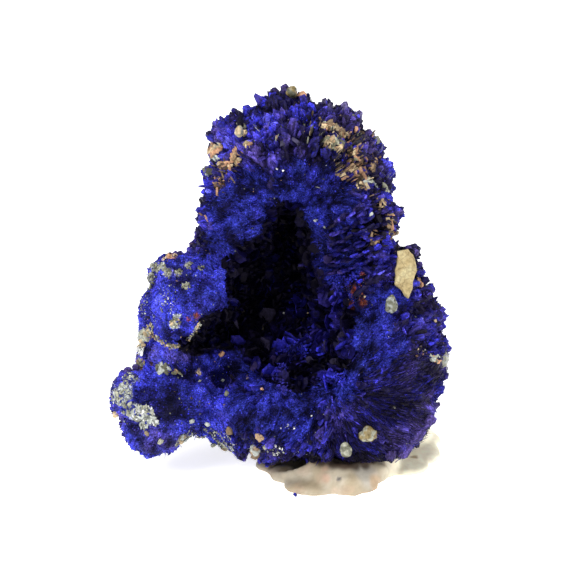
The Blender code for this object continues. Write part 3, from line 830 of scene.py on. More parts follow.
# Crusts made of many crumbs: across, up, spread across, spread up, count, smallest and largest half-size, colours.
crusts = (
    (-22.9, 7.0, 1.00, 1.05, 190, 0.06, 0.18, ("chalk", "chalk", "chalk", "azure", "lichen")),
    (-22.0, 8.5, 0.75, 0.65, 80, 0.05, 0.16, ("chalk", "azure", "lichen", "royal")),
    (-22.2, 5.5, 0.60, 0.55, 60, 0.06, 0.18, ("chalk", "lichen", "azure")),
    (-20.6, 5.0, 1.10, 0.90, 240, 0.06, 0.20, ("chalk", "white", "chalk", "chalk", "lichen", "azure")),
    (-20.6, 3.9, 0.35, 0.45, 36, 0.06, 0.16, ("chalk", "lichen")),
    (-19.5, 4.3, 0.35, 0.35, 36, 0.06, 0.16, ("chalk", "white", "lichen")),
    (-23.6, 8.0, 0.40, 0.60, 30, 0.05, 0.14, ("chalk", "azure", "white")),
    (-20.9, 12.2, 0.50, 0.60, 50, 0.08, 0.22, ("cream", "lichen", "chalk")),
    (-20.9, 10.2, 0.50, 0.30, 26, 0.08, 0.18, ("tan", "moss", "lichen")),
    (-19.9, 13.6, 0.35, 0.50, 30, 0.06, 0.16, ("lichen", "moss", "cream")),
    (-18.8, 9.6, 0.60, 0.35, 26, 0.10, 0.24, ("chalk", "moss")),
    (-17.4, 9.1, 0.50, 0.15, 14, 0.10, 0.18, ("tan", "moss")),
    (-20.6, 12.9, 0.45, 0.50, 30, 0.10, 0.24, ("cream", "chalk", "lichen")),
    (-21.0, 11.4, 0.50, 0.45, 26, 0.10, 0.22, ("chalk", "white")),
    (-19.2, 19.7, 0.80, 0.45, 60, 0.06, 0.16, ("lichen", "moss", "chalk")),
    (-19.9, 18.5, 0.30, 0.70, 34, 0.06, 0.15, ("lichen", "moss", "chalk")),
    (-18.2, 19.0, 0.30, 0.45, 20, 0.05, 0.13, ("lichen", "moss")),
    (-17.1, 19.1, 0.35, 0.35, 18, 0.05, 0.13, ("lichen", "moss")),
    (-16.1, 19.9, 0.35, 0.40, 20, 0.05, 0.13, ("lichen", "moss")),
    (-14.9, 19.7, 0.35, 0.35, 18, 0.05, 0.13, ("moss", "lichen")),
    (-16.4, 17.8, 0.40, 0.30, 20, 0.05, 0.13, ("moss", "lichen")),
    (-17.9, 20.9, 0.55, 0.20, 20, 0.08, 0.20, ("clay", "cream")),
    (-13.4, 31.7, 0.80, 0.62, 80, 0.12, 0.30, ("clay", "clay", "cream", "tan", "chalk")),
    (-13.5, 30.6, 0.35, 0.35, 16, 0.10, 0.22, ("chalk", "lichen")),
    (-11.3, 30.6, 0.40, 0.80, 54, 0.12, 0.28, ("clay", "clay", "cream", "tan")),
    (-12.4, 29.9, 0.60, 0.42, 46, 0.12, 0.28, ("clay", "clay", "cream", "brown")),
    (-13.1, 27.9, 0.45, 0.60, 26, 0.08, 0.18, ("clay", "tan", "brown")),
    (-10.2, 32.0, 0.35, 0.25, 14, 0.08, 0.20, ("cream", "clay")),
    (-2.2, 33.8, 0.60, 0.42, 36, 0.10, 0.24, ("cream", "clay", "tan", "lichen")),
    (-0.6, 33.2, 0.60, 0.50, 34, 0.10, 0.24, ("clay", "tan", "brown", "cream")),
    (-1.8, 32.0, 1.10, 0.60, 60, 0.10, 0.24, ("lichen", "moss", "cream", "tan")),
    (0.9, 33.2, 0.50, 0.40, 20, 0.10, 0.22, ("clay", "brown", "cream", "moss")),
    (0.1, 30.9, 0.45, 0.80, 40, 0.08, 0.20, ("tan", "clay", "brown", "cream", "moss")),
    (0.6, 29.6, 0.70, 0.55, 40, 0.08, 0.22, ("cream", "tan", "brown", "clay")),
    (1.0, 28.0, 0.30, 0.60, 20, 0.08, 0.18, ("brown", "tan", "cream")),
    (2.4, 29.9, 0.40, 0.60, 18, 0.08, 0.16, ("tan", "brown")),
    (1.9, 28.3, 0.50, 0.30, 20, 0.10, 0.22, ("chalk", "lichen")),
    (3.9, 23.2, 0.30, 0.70, 30, 0.08, 0.22, ("cream", "tan", "clay")),
    (2.4, 21.9, 0.45, 0.40, 24, 0.08, 0.20, ("clay", "tan", "brown")),
    (2.6, 24.9, 0.50, 0.25, 18, 0.06, 0.16, ("cream", "chalk", "clay")),
    (1.5, 18.9, 0.45, 0.40, 40, 0.03, 0.07, ("rust", "rust", "clay")),
    (-0.2, 18.1, 0.35, 0.32, 30, 0.03, 0.07, ("rust", "rust", "clay")),
    (1.4, 16.2, 0.40, 0.40, 24, 0.03, 0.07, ("rust", "brown")),
    (0.6, 17.4, 1.30, 1.30, 150, 0.02, 0.07, ("rust", "rust", "brown", "dusk")),
    (-15.6, 14.7, 0.65, 0.45, 34, 0.02, 0.06, ("rust", "brown")),
    (-17.4, 14.2, 0.45, 0.50, 22, 0.07, 0.16, ("lichen", "moss", "cream")),
    (-16.7, 2.5, 0.70, 0.30, 34, 0.08, 0.20, ("lichen", "chalk", "cream")),
    (-7.4, 1.4, 0.90, 0.50, 34, 0.05, 0.13, ("chalk", "white", "lichen")),
    # The fine white crusts at (-5.9, 3.8), (-2.4, 3.3) and (-4.8, 1.6) are painted sparkle: glints made as white
    # grains.
    (-5.9, 3.8, 0.60, 0.40, 12, 0.03, 0.06, ("white", "lichen")),
    (-2.4, 3.3, 0.80, 0.60, 16, 0.02, 0.05, ("white", "chalk")),
    (-4.8, 1.6, 1.00, 0.80, 26, 0.02, 0.05, ("white", "chalk", "lichen")),
    (-18.2, 16.6, 1.2, 1.6, 60, 0.03, 0.08, ("lichen", "chalk", "moss")),
    (-20.6, 16.0, 0.5, 1.0, 24, 0.03, 0.08, ("lichen", "chalk")),
    (8.6, 10.6, 0.40, 0.35, 18, 0.08, 0.20, ("lichen", "chalk", "clay")),
    (7.2, 11.4, 0.60, 0.50, 18, 0.05, 0.12, ("clay", "cream", "white")),
    (6.8, 18.2, 0.20, 0.40, 10, 0.06, 0.14, ("clay", "tan")),
    (5.0, 22.2, 0.30, 0.30, 12, 0.06, 0.14, ("cream", "clay")),
    (-5.6, 37.5, 0.30, 0.20, 14, 0.10, 0.20, ("clay", "brown")),
)

# Crusts drawn along a line: places across and up, spread, count, smallest and largest half-size, colours.
crustLines = (
    (
        ((-20.0, 13.2), (-18.9, 12.3), (-17.8, 11.8), (-16.9, 11.9), (-16.2, 12.5)),
        0.15, 220, 0.05, 0.15, ("lichen", "cream", "moss", "tan"),
    ),
    (((-16.4, 12.2), (-15.5, 13.5), (-14.7, 14.5)), 0.12, 120, 0.04, 0.13, ("lichen", "chalk", "moss", "cream")),
    (((-14.6, 3.6), (-13.6, 3.0), (-13.0, 2.0), (-12.8, 1.0)), 0.12, 70, 0.04, 0.13, ("lichen", "chalk", "moss")),
    (((-13.8, 3.6), (-12.8, 2.8), (-12.2, 1.8), (-12.2, 1.0)), 0.10, 60, 0.04, 0.12, ("lichen", "chalk")),
    (((-12.6, 3.2), (-11.8, 2.4), (-11.6, 1.4)), 0.10, 40, 0.03, 0.10, ("chalk", "white", "lichen")),
    (((-13.2, 0.9), (-12.4, 0.8), (-12.0, 1.4)), 0.16, 50, 0.06, 0.18, ("cream", "lichen", "tan")),
    (((-19.0, 20.0), (-19.8, 19.0), (-20.2, 17.9)), 0.30, 120, 0.05, 0.16, ("lichen", "moss", "chalk")),
    (((-17.0, 3.0), (-16.0, 2.5), (-15.2, 2.6), (-14.4, 2.9)), 0.14, 60, 0.05, 0.16, ("lichen", "cream", "chalk")),
    (((-20.6, 16.4), (-19.6, 15.0), (-19.2, 13.6)), 0.10, 24, 0.02, 0.06, ("white", "chalk")),
    (((-18.6, 17.4), (-18.0, 16.4), (-17.6, 14.8)), 0.14, 24, 0.02, 0.06, ("white", "lichen")),
)

# Pale slivers in the gaps between the blades: across, up, spread across, spread up, count, length, colours.
slivers = (
    (-3.7, 33.8, 0.6, 1.1, 14, 0.6, ("cream", "tan", "brown", "moss")),
    (-1.8, 32.4, 1.3, 1.1, 26, 0.5, ("lichen", "cream", "brown", "moss")),
    (-0.9, 30.4, 0.7, 1.1, 16, 0.6, ("tan", "cream", "brown")),
    (0.1, 30.4, 0.35, 2.2, 34, 0.8, ("clay", "tan", "brown", "brown")),
    (-0.8, 29.6, 1.0, 0.4, 16, 0.8, ("cream", "tan", "clay")),
    (1.2, 29.6, 0.6, 2.2, 22, 0.6, ("tan", "brown", "brown", "cream")),
    (1.8, 32.6, 0.9, 0.9, 10, 0.5, ("clay", "brown", "cream")),
    (-12.2, 29.2, 1.2, 0.8, 20, 0.5, ("clay", "cream", "tan", "brown")),
    (-13.0, 27.8, 0.7, 0.8, 16, 0.5, ("clay", "tan", "brown")),
    (-9.6, 32.4, 1.6, 1.2, 10, 0.4, ("lichen", "dusk", "clay")),
    (2.4, 22.6, 1.1, 0.8, 20, 0.6, ("clay", "tan", "brown", "cream")),
    (3.8, 24.0, 0.4, 1.0, 14, 0.6, ("cream", "tan", "clay")),
    (2.8, 26.0, 0.8, 0.8, 10, 0.5, ("tan", "brown", "cream")),
    (-6.0, 33.0, 2.0, 1.0, 10, 0.5, ("dusk", "lichen", "clay")),
)

# Blades.

clearing = {
    "largeCrumb": 0.21,  # half across, from which a crumb keeps its place clear
    "largeCrust": 0.15,  # the same for the largest crumb of a crust
    "grainShare": 0.55,  # of a solid's size
    "margin": 0.15,
}


# Where nothing grows, because a large crumb, a crust, a grain or the chip is there.
def clearPlaces():
    margin = clearing["margin"]
    places = [(x, z, max(half, halfUp) + margin) for x, z, half, halfUp, _ in crumbs if half > clearing["largeCrumb"]]
    for across, up, spreadAcross, spreadUp, _, _, large, _ in crusts:
        if large > clearing["largeCrust"]:
            places.append((across, up, 0.75 * max(spreadAcross, spreadUp) + 0.1))
    taken = spots(skinPoints, places)
    for name in nodes:
        if name.startswith("pale_grain") or name == "cream_chip":
            low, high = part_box(name)
            middle = np.array(leanPose.inverted() @ ((low + high) / 2)) / mm
            halfSizes = np.array(high - low) / mm * clearing["grainShare"] + margin
            inside = np.linalg.norm((skinPoints - middle) / np.maximum(halfSizes, 0.8), axis=1)
            taken = np.maximum(taken, 1.0 - ramp(inside, 0.9, 1.2))
    return taken


bare = 1.0 - zones["hollow"]
clear = clearPlaces()
ledgeZone = spots(skinPoints, ((0.6, 20.6, 1.8), (1.6, 22.4, 2.0), (0.0, 23.4, 1.6), (2.6, 24.0, 1.2)))

# Lengths, widths and thicknesses are ranges in mm. Flat is the share laid flat.
bladeKinds = {
    "azuriteBlocks": {
        "seed": 17, "template": blockShape, "gap": 1.05, "share": 0.85, "flat": 0.5, "scatter": 0.34,
        "lengths": (1.4, 2.8), "widths": (0.70, 1.35), "thicknesses": (0.50, 0.95),
    },
    "azuriteBlades": {
        "seed": 19, "template": bladeShape, "gap": 0.62, "share": 0.70, "flat": 0.4, "scatter": 0.24,
        "lengths": (1.2, 2.4), "widths": (0.40, 0.85), "thicknesses": (0.20, 0.42),
    },
    "azuriteBuds": {
        "seed": 23, "template": budShape, "gap": 0.46, "share": 0.70, "flat": 0.5, "scatter": 0.38,
        "lengths": (0.7, 1.6), "widths": (0.36, 0.78), "thicknesses": (0.28, 0.56),
    },
}
bladeGrowth = {
    "thinned": {"left": 0.9, "fan": 0.95, "ledge": 0.85, "behind": 0.85},  # how far the blades give way there
    "twist": 0.35,
    "quarterTurn": 1.57,
    "clumps": (0.55, 0.9),  # how large they grow between the clumps, and what a clump adds
    "smallerLeft": 0.3,
    "rooted": (0.65, 0.29),  # the share sunk where they lie flat, and what standing up adds
    "rootedScatter": (-0.07, 0.05),
    "tint": 0.33,
    "tintScatter": 0.16,
}


# The thick blades of the crown, the sides and the back. Most of each is sunk in the skin.
def makeBlades(name, seed, template, gap, share, flat, scatter, lengths, widths, thicknesses):
    rng = np.random.default_rng(seed)
    thinned = bladeGrowth["thinned"]
    weights = bare * (1.0 - zones["felt"]) * (1.0 - thinned["left"] * zones["left"] * zones["facing"])
    weights = weights * (1.0 - zones["foot"]) * (1.0 - thinned["fan"] * zones["fan"]) * (1.0 - clear)
    weights = weights * (1.0 - thinned["ledge"] * ledgeZone) * (1.0 - thinned["behind"] * matrixBehind(skinPoints))
    weights = weights * ramp(zones["nearHollow"], 0.9, 2.0)
    index = spaced(weights * share * (0.3 + 0.7 * ramp(crest, 0.25, 0.55)), gap, rng)
    points, normals = skinPoints[index], skinNormals[index]
    count = len(index)
    axes, sides = aim(points, normals, 0.14, scatter, rng)
    turns = rng.normal(0.0, bladeGrowth["twist"], count) + (rng.random(count) < flat) * bladeGrowth["quarterTurn"]
    sides = turnAbout(axes, sides, turns)
    clump = cloud(points, 1.8, 5.0)
    left = zones["left"][index]
    small, added = bladeGrowth["clumps"]
    grown = (small + added * clump) * (1.0 - bladeGrowth["smallerLeft"] * left)
    length = between(lengths, rng.random(count)) * grown
    width = between(widths, rng.random(count) ** 1.4) * grown
    thickness = between(thicknesses, rng.random(count))
    steep = np.abs((axes * normals).sum(1))
    lying, upright = bladeGrowth["rooted"]
    rooted = lying + upright * steep + rng.uniform(*bladeGrowth["rootedScatter"], count)
    places = points - axes * (length * rooted)[:, None] - normals * (0.15 * thickness)[:, None]
    keep = liftedOff(points, points + axes * length[:, None] * 0.4)
    # Painted light and shade: blades on the lumps are painted lighter and those in the creases darker.
    tint = bladeGrowth["tint"] + 0.6 * (crest[index] - 0.5) + 0.4 * (clump - 0.5) + 0.1 * left
    tint = tint + rng.normal(0.0, bladeGrowth["tintScatter"], count)
    colours = colourOf(points, tint, rng, flecks=0.0)
    sizes = np.stack([width, thickness, length], 1)
    return grow(name, template, *kept(keep, places, axes, sides, sizes, colours), rng, rootPaintedShade=0.15)


fanPlates = {
    "gap": 0.165,
    "length": (1.3, 2.5),
    "width": (0.34, 0.52),
    "thickness": (0.07, 0.14),
    "rooted": 0.92,
    "hub": (-1.0, 2.0, 7.6),
    "core": (1.6, 5.6, 8.0),
    "scatter": 0.025,
    "twist": 0.2,
    "tint": 0.18,
}


# Thin plates on edge that spread from the lower right of the hollow.
def makeFan():
    rng = np.random.default_rng(23)
    index = spaced(zones["fan"] * bare * (1.0 - clear), fanPlates["gap"], rng)
    points, normals = skinPoints[index], skinNormals[index]
    away = unit(points - np.array(fanPlates["hub"]))
    smooth = unit(0.35 * normals + unit(points - np.array(fanPlates["core"])))
    along = unit(away - smooth * (away * smooth).sum(1)[:, None])
    axes = unit(along + smooth * 0.03 + rng.normal(0.0, fanPlates["scatter"], points.shape))
    sides = turnAbout(axes, square(axes, smooth), rng.normal(0.0, fanPlates["twist"], len(index)))
    length, width, thickness = (
        between(fanPlates[name], rng.random(len(index))) for name in ("length", "width", "thickness")
    )
    deep = width * (fanPlates["rooted"] - 0.5)
    places = points - axes * (length * 0.5)[:, None] - smooth * deep[:, None]
    keep = liftedOff(points, points + axes * length[:, None] * 0.5)
    # Painted light and shade: plates on the lumps are painted lighter and those in the creases darker.
    tint = fanPlates["tint"] + 0.4 * (crest[index] - 0.5) + rng.normal(0.0, 0.15, len(index))
    colours = colourOf(points, tint, rng, flecks=0.0, dusky=0.5)
    sizes = np.stack([width, thickness, length], 1)
    return grow("azuriteFan", bladeShape, *kept(keep, places, axes, sides, sizes, colours), rng, jitter=0.06)


# Large crystals set one by one: across, up, width, height, thickness, turn from upright in degrees, colour,
# brightness and, where it isn't the usual one, how far they stand out towards the camera.
largeCrystals = (
    (-6.7, 37.9, 1.0, 1.0, 0.8, 10, "violet", 0.5), (-7.5, 37.2, 1.0, 0.9, 0.7, 50, "violet", 0.4),
    (-2.6, 36.2, 0.6, 0.9, 0.5, -10, "dusk", 1.0), (-1.7, 36.0, 0.7, 1.1, 0.5, 0, "dusk", 1.1),
    (-0.4, 35.9, 0.9, 1.7, 0.6, -8, "dusk", 1.5), (0.8, 34.9, 0.8, 1.0, 0.6, -30, "dusk", 1.3),
    (2.0, 33.8, 0.8, 0.9, 0.6, -40, "violet", 0.6), (-12.8, 33.8, 1.0, 1.1, 0.8, 35, "royal", 1.0),
    (-12.0, 34.5, 1.1, 1.0, 0.8, 20, "bright", 0.6), (-14.1, 32.4, 0.9, 1.0, 0.7, 70, "royal", 1.0),
    (-10.2, 35.2, 1.1, 0.9, 0.8, 15, "royal", 1.2), (4.9, 25.2, 0.6, 1.1, 0.4, -80, "violet", 0.7),
    (4.9, 27.4, 0.6, 0.9, 0.4, -85, "royal", 0.8), (5.6, 21.8, 0.9, 0.7, 0.6, -30, "violet", 0.9),
    (6.5, 21.2, 0.9, 0.7, 0.6, -40, "violet", 0.8), (7.3, 20.0, 0.7, 0.8, 0.5, -60, "violet", 0.6),
    (-22.2, 9.5, 1.0, 0.8, 0.8, 80, "violet", 0.9), (-21.4, 9.6, 0.9, 0.8, 0.7, 95, "violet", 0.7),
    (-17.6, 21.2, 0.8, 0.6, 0.5, 60, "violet", 0.7), (-16.9, 21.5, 0.7, 0.6, 0.5, 20, "violet", 0.5),
    (7.7, 4.2, 1.3, 1.9, 0.4, -58, "violet", 0.85, 0.6), (6.7, 2.8, 1.3, 1.8, 0.4, -44, "violet", 0.8, 0.6),
    (5.5, 1.4, 1.4, 1.8, 0.5, -32, "violet", 0.75, 0.6), (4.1, 1.0, 1.2, 1.3, 0.5, -15, "violet", 0.5, 0.4),
    (8.7, 7.4, 0.8, 1.7, 0.3, -75, "royal", 1.1, 0.5), (8.5, 5.8, 0.8, 1.7, 0.3, -65, "violet", 0.7, 0.5),
    (9.6, 12.6, 0.7, 0.9, 0.4, -85, "royal", 1.1), (8.9, 14.8, 0.8, 0.8, 0.5, -80, "navy", 1.6),
    (-5.6, 37.7, 0.6, 0.6, 0.5, -50, "brown", 1.0),
    (-15.6, 19.6, 0.7, 0.6, 0.5, 30, "royal", 1.0),
)

# Crystals of the hollow, brighter where painted light stands in for the light they catch, set in the same way.
litCrystals = (
    (-8.8, 11.7, 2.2, 1.6, 0.25, 62, "dusk", 0.60, 0.5), (-8.2, 14.6, 2.2, 2.0, 0.3, 25, "dusk", 0.34, 0.4),
    (-7.8, 10.3, 1.4, 0.8, 0.25, 75, "violet", 0.34, 0.4), (-4.0, 10.3, 1.3, 0.9, 0.25, -70, "dusk", 0.55, 0.4),
    (-2.4, 11.8, 0.5, 1.4, 0.2, 5, "dusk", 0.50, 0.3), (-3.5, 14.2, 1.6, 0.5, 0.2, 78, "violet", 0.22, 0.3),
    (-4.9, 15.1, 0.9, 0.7, 0.2, -50, "violet", 0.22, 0.3), (-2.2, 20.5, 1.2, 0.9, 0.2, 60, "violet", 0.32, 0.2),
    (-11.6, 14.5, 0.4, 2.2, 0.25, 25, "dusk", 0.35, 0.3), (-6.0, 12.6, 1.0, 0.8, 0.3, 40, "royal", 0.45, 0.4),
    (-2.0, 16.9, 1.4, 1.5, 0.3, 30, "dusk", 0.25, 0.3), (-1.4, 14.8, 1.2, 1.4, 0.3, -25, "violet", 0.20, 0.3),
    (-6.8, 16.6, 1.2, 1.5, 0.3, -20, "violet", 0.07, 0.2), (-9.9, 12.9, 1.2, 1.0, 0.3, 80, "violet", 0.10, 0.3),
    (-0.8, 12.9, 0.9, 0.9, 0.3, 50, "dusk", 0.45, 0.3), (-1.6, 10.2, 0.9, 1.0, 0.3, 20, "dusk", 0.30, 0.3),
    (-6.9, 8.6, 0.9, 1.4, 0.3, 15, "dusk", 0.45, 0.3), (-9.6, 9.8, 1.1, 0.7, 0.25, 70, "violet", 0.20, 0.3),
    (-4.2, 16.9, 0.8, 1.3, 0.25, 65, "violet", 0.12, 0.3), (-10.6, 17.6, 0.7, 1.4, 0.3, 10, "violet", 0.05, 0.2),
    (-3.0, 19.0, 1.0, 1.3, 0.3, 25, "violet", 0.10, 0.2), (-12.6, 12.6, 1.2, 0.8, 0.3, 85, "violet", 0.06, 0.2),
)


usualLift = 0.15


# Single crystals stood on the skin and turned as written, each facing the camera.
def makeStanding(name, crystals, template, rng):
    rows = []
    for across, up, width, height, thickness, turn, tone, brightness, *lifts in crystals:
        lift = lifts[0] if lifts else usualLift
        point, normal = onFace(across, up)
        towards = unit(np.array(eye) / mm - point)
        side = unit(towards + normal * 0.35 + rng.normal(0.0, 0.15, 3))
        angle = math.radians(turn)
        axis = np.array((-math.sin(angle), 0.0, math.cos(angle)))
        axis = unit(axis - side * (axis * side).sum())
        place = point + towards * lift - axis * height * 0.5
        rows.append((place, axis, side, (width, thickness, height), np.array(palette[tone]) * brightness))
    return grow(name, template, *columnsOf(rows), rng, rootPaintedShade=0.6)


# Rows of blocks that jut out one above the other on the right of the crown: ends across and up, count, reach.
ledges = (
    ((-2.4, 18.9), (1.8, 20.2), 9, 1.0), ((-2.2, 19.9), (2.8, 21.6), 11, 1.1), ((-2.0, 20.9), (3.2, 22.8), 11, 1.2),
    ((-1.8, 21.9), (3.4, 24.1), 11, 1.1), ((-1.8, 22.9), (3.4, 25.4), 11, 1.0), ((-2.0, 23.8), (3.2, 26.6), 11, 0.9),
    ((1.0, 18.2), (3.6, 19.8), 6, 0.9), ((2.8, 20.0), (4.7, 22.2), 5, 0.8),
)
ledgeBlocks = {
    "width": (0.8, 1.4),
    "thickness": (0.30, 0.55),
    "way": (0.30, -0.6, 0.25),
    "tint": 0.42,
}


def makeLedges():
    rng = np.random.default_rng(29)
    rows = []
    for start, end, count, reach in ledges:
        along = unit(np.array((end[0] - start[0], 0.0, end[1] - start[1])))
        for number in range(count):
            t = (number + rng.uniform(0.2, 0.8)) / count
            point, normal = onFace(*(between(ends, t) for ends in zip(start, end)))
            axis = unit(normal + np.array(ledgeBlocks["way"]) + rng.normal(0.0, 0.10, 3))
            side = unit(np.cross(axis, along + rng.normal(0.0, 0.12, 3)))
            size = (rng.uniform(*ledgeBlocks["width"]), rng.uniform(*ledgeBlocks["thickness"]), reach * 1.5)
            rows.append((point - axis * reach * 0.75, axis, side, size))
    points, axes, sides, sizes = columnsOf(rows)
    colours = colourOf(points, rng.normal(ledgeBlocks["tint"], 0.13, len(points)), rng, flecks=0.0)
    return grow("azuriteLedges", blockShape, points, axes, sides, sizes, colours, rng, jitter=0.12, rootPaintedShade=0.05)


# Long pale blades that lie between the blue ones: ends across and up, thickness and colour.
paleBlades = (
    ((-3.0, 34.6), (-2.4, 33.0), 0.22, "tan"), ((-2.0, 34.0), (-1.4, 33.0), 0.20, "cream"),
    ((-1.2, 33.8), (-0.8, 32.8), 0.18, "cream"), ((-1.0, 32.6), (-0.2, 31.6), 0.22, "lichen"),
    ((-7.1, 32.8), (-6.6, 31.8), 0.30, "dusk"), ((-5.6, 32.5), (-5.0, 31.7), 0.25, "dusk"),
    ((-4.5, 28.0), (-3.0, 27.6), 0.07, "lichen"), ((-1.4, 29.0), (0.2, 29.6), 0.20, "tan"),
    ((-1.0, 28.7), (0.6, 30.0), 0.18, "cream"), ((-0.4, 28.6), (0.6, 29.0), 0.22, "clay"),
    ((0.6, 31.6), (0.9, 29.8), 0.26, "clay"), ((1.1, 31.4), (1.3, 28.6), 0.20, "tan"),
    ((1.5, 30.6), (1.5, 27.4), 0.22, "clay"), ((0.8, 29.4), (1.1, 27.2), 0.20, "brown"),
    ((1.8, 29.4), (1.7, 27.8), 0.18, "cream"), ((2.2, 31.0), (2.4, 29.4), 0.18, "tan"),
    ((2.8, 30.6), (2.7, 29.2), 0.16, "clay"), ((2.0, 25.0), (3.2, 25.4), 0.16, "tan"),
    ((3.6, 24.6), (4.2, 22.8), 0.30, "cream"), ((4.0, 24.2), (4.4, 23.0), 0.24, "clay"),
    ((3.3, 26.4), (3.5, 25.2), 0.16, "cream"), ((2.6, 26.8), (3.4, 26.2), 0.14, "tan"),
    ((-13.0, 29.4), (-12.4, 28.2), 0.12, "tan"), ((-12.4, 29.2), (-12.0, 28.0), 0.10, "clay"),
    ((-12.0, 28.8), (-11.4, 28.0), 0.10, "tan"), ((-13.6, 28.6), (-13.2, 27.0), 0.14, "clay"),
    ((-14.6, 29.7), (-13.8, 29.2), 0.45, "moss"), ((-15.0, 25.2), (-14.4, 24.4), 0.2, "clay"),
    ((2.0, 21.6), (2.6, 22.6), 0.30, "clay"), ((1.8, 22.2), (2.4, 23.0), 0.22, "tan"),
    ((2.6, 21.9), (2.9, 22.7), 0.22, "clay"),
)
wholeBelow = 0.12  # blades thinner than this stay in one piece


# A place at the share t of the way between two on the face, a little to one side.
def strayed(start, end, t, stray, rng):
    return [between(ends, t) + rng.normal(0.0, stray) for ends in zip(start, end)]


# Broken blades in short pieces, most of them a little out of line.
def makePaleBlades():
    rng = np.random.default_rng(67)
    rows = []
    for start, end, thickness, tone in paleBlades:
        thin = thickness < wholeBelow
        pieces = 1 if thin else max(1, round(1.2 * math.dist(start, end) / (thickness + 0.3)))
        along = unit(np.array((end[0] - start[0], 0.0, end[1] - start[1])))
        for number in range(pieces):
            t = (number + rng.uniform(0.1, 0.9)) / pieces
            point, _ = onFace(*strayed(start, end, t, 0.08, rng))
            towards = unit(np.array(eye) / mm - point)
            axis = unit(along + rng.normal(0.0, 0.1 if thin else 0.3, 3))
            side = unit(towards - axis * (axis * towards).sum())
            width = thickness * rng.uniform(0.7, 1.7)
            length = min(math.dist(start, end), 1.4) if thin else rng.uniform(0.5, 1.0)
            place = point + towards * rng.uniform(0.02, 0.22) - axis * length * 0.5
            shade = np.array(palette[tone]) * rng.uniform(0.2, 0.85)
            rows.append((place, axis, side, (width, width * 0.6, length), shade))
    return grow("paleBlades", bladeShape, *columnsOf(rows), rng, jitter=0.25)


# Grit and felt.

azuriteGrit = {
    "stretch": (0.8, 1.6),
    "sunk": 0.12,
    "speckled": 0.045,  # share of the grains on the left that are pale
    "speckles": ("lichen", "chalk", "moss", "pale", "tan"),
    "kinds": {
        "azuriteGrit": {"seed": 31, "onFront": 1.0, "onBack": 0.0, "gap": 0.21, "sizes": (0.15, 0.36)},
        "azuriteGritBehind": {"seed": 33, "onFront": 0.0, "onBack": 1.0, "gap": 0.34, "sizes": (0.26, 0.52)},
    },
}


# Small grains of azurite all over the skin, finer on the face than behind.
def makeGrit(name, seed, onFront, onBack, gap, sizes):
    rng = np.random.default_rng(seed)
    weights = onBack + (onFront - onBack) * ramp(zones["facing"], 0.1, 0.5)
    weights = weights * bare * (1.0 - 0.9 * clear) * (1.0 - 0.5 * zones["fan"]) * (1.0 - 0.6 * zones["foot"])
    index = spaced(weights, gap, rng)
    points, normals = skinPoints[index], skinNormals[index]
    count = len(index)
    felt, left, facing = (zones[name][index] for name in ("felt", "left", "facing"))
    axes, sides = aim(points, normals, 0.6, 0.5, rng)
    size = between(sizes, rng.random(count) ** 1.4)
    shape = [np.ones(count), rng.uniform(0.6, 1.0, count), between(azuriteGrit["stretch"], rng.random(count))]
    sizes = size[:, None] * np.stack(shape, 1)
    points = points - normals * (azuriteGrit["sunk"] * size)[:, None]
    keep = liftedOff(points, points + axes * size[:, None])
    tint = tintAt(points, index) + rng.normal(0.0, 0.15, count)
    colours = colourOf(points, tint, rng, azure=felt * (1.0 - 0.7 * left))
    pale = rng.random(count) < azuriteGrit["speckled"] * (0.25 + 0.75 * left * facing)
    tones = np.array([palette[tone] for tone in azuriteGrit["speckles"]])
    colours[pale] = (tones[rng.integers(len(tones), size=count)] * rng.uniform(0.3, 0.8, (count, 1)))[pale]
    return grow(name, gemShape, *kept(keep, points, axes, sides, sizes, colours), rng, jitter=0.16)


# How light the fine growth is in each zone, with painted light on the lumps and painted shade in the creases.
def tintAt(points, index):
    felt, left, facing, fan = (zones[name][index] for name in ("felt", "left", "facing", "fan"))
    clumps = 0.35 * (domes(points, 1.1, 71.0) - 0.55) * np.maximum(felt, left)
    return 0.38 + 0.02 * felt + 0.20 * left * facing - 0.06 * fan + 0.3 * (crest[index] - 0.5) + clumps


feltNeedles = {
    "perArea": 24.0,
    "length": (0.35, 0.80),
    "thickness": (0.06, 0.12),
    "stray": 0.12,
}


# Matted needles that lie along the sprays.
def makeFelt():
    rng = np.random.default_rng(37)
    matted = np.maximum(zones["felt"], 0.2) * (1.0 - 0.85 * zones["left"]) * zones["facing"]
    index = strewn(np.maximum(matted, 1.2 * zones["fan"]) * bare * (1.0 - clear), feltNeedles["perArea"], rng)
    points = skinPoints[index] + rng.normal(0.0, feltNeedles["stray"], (len(index), 3))
    normals = skinNormals[index]
    felt, left, fan = (zones[name][index] for name in ("felt", "left", "fan"))
    axes, _ = aim(points, normals, 0.10, 0.50, rng)
    combed = unit(points - np.array(fanPlates["hub"]))
    combed = unit(combed - normals * (combed * normals).sum(1)[:, None] + rng.normal(0.0, 0.07, points.shape))
    axes = unit(between((axes, combed), ramp(fan, 0.3, 0.7)[:, None]))
    sides = unit(np.cross(axes, rng.normal(0.0, 1.0, points.shape)))
    length = between(feltNeedles["length"], rng.random(len(index))) * (1.0 + fan)
    thickness = between(feltNeedles["thickness"], rng.random(len(index)))
    places = points + normals * 0.03 - axes * (length * 0.3)[:, None]
    keep = liftedOff(points, points + axes * length[:, None])
    tint = tintAt(points, index) + rng.normal(0.03, 0.17, len(index))
    colours = colourOf(points, tint, rng, flecks=0.7, azure=felt * (1.0 - 0.7 * left))
    sizes = np.stack([thickness, thickness, length], 1)
    return grow("azuriteFelt", needleShape, *kept(keep, places, axes, sides, sizes, colours), rng, rootPaintedShade=0.5)


# The druse in the hollow.

druse = {
    "gap": 0.42,
    "width": (0.40, 1.6),
    "thickness": (0.1, 0.25),
    "scatter": 0.45,
    "tint": (0.03, 0.46),  # out of the light, and what the light adds
    # brightness: painted shade out of the painted light, and what the painted light adds.
    "brightness": (0.42, 2.5),
}
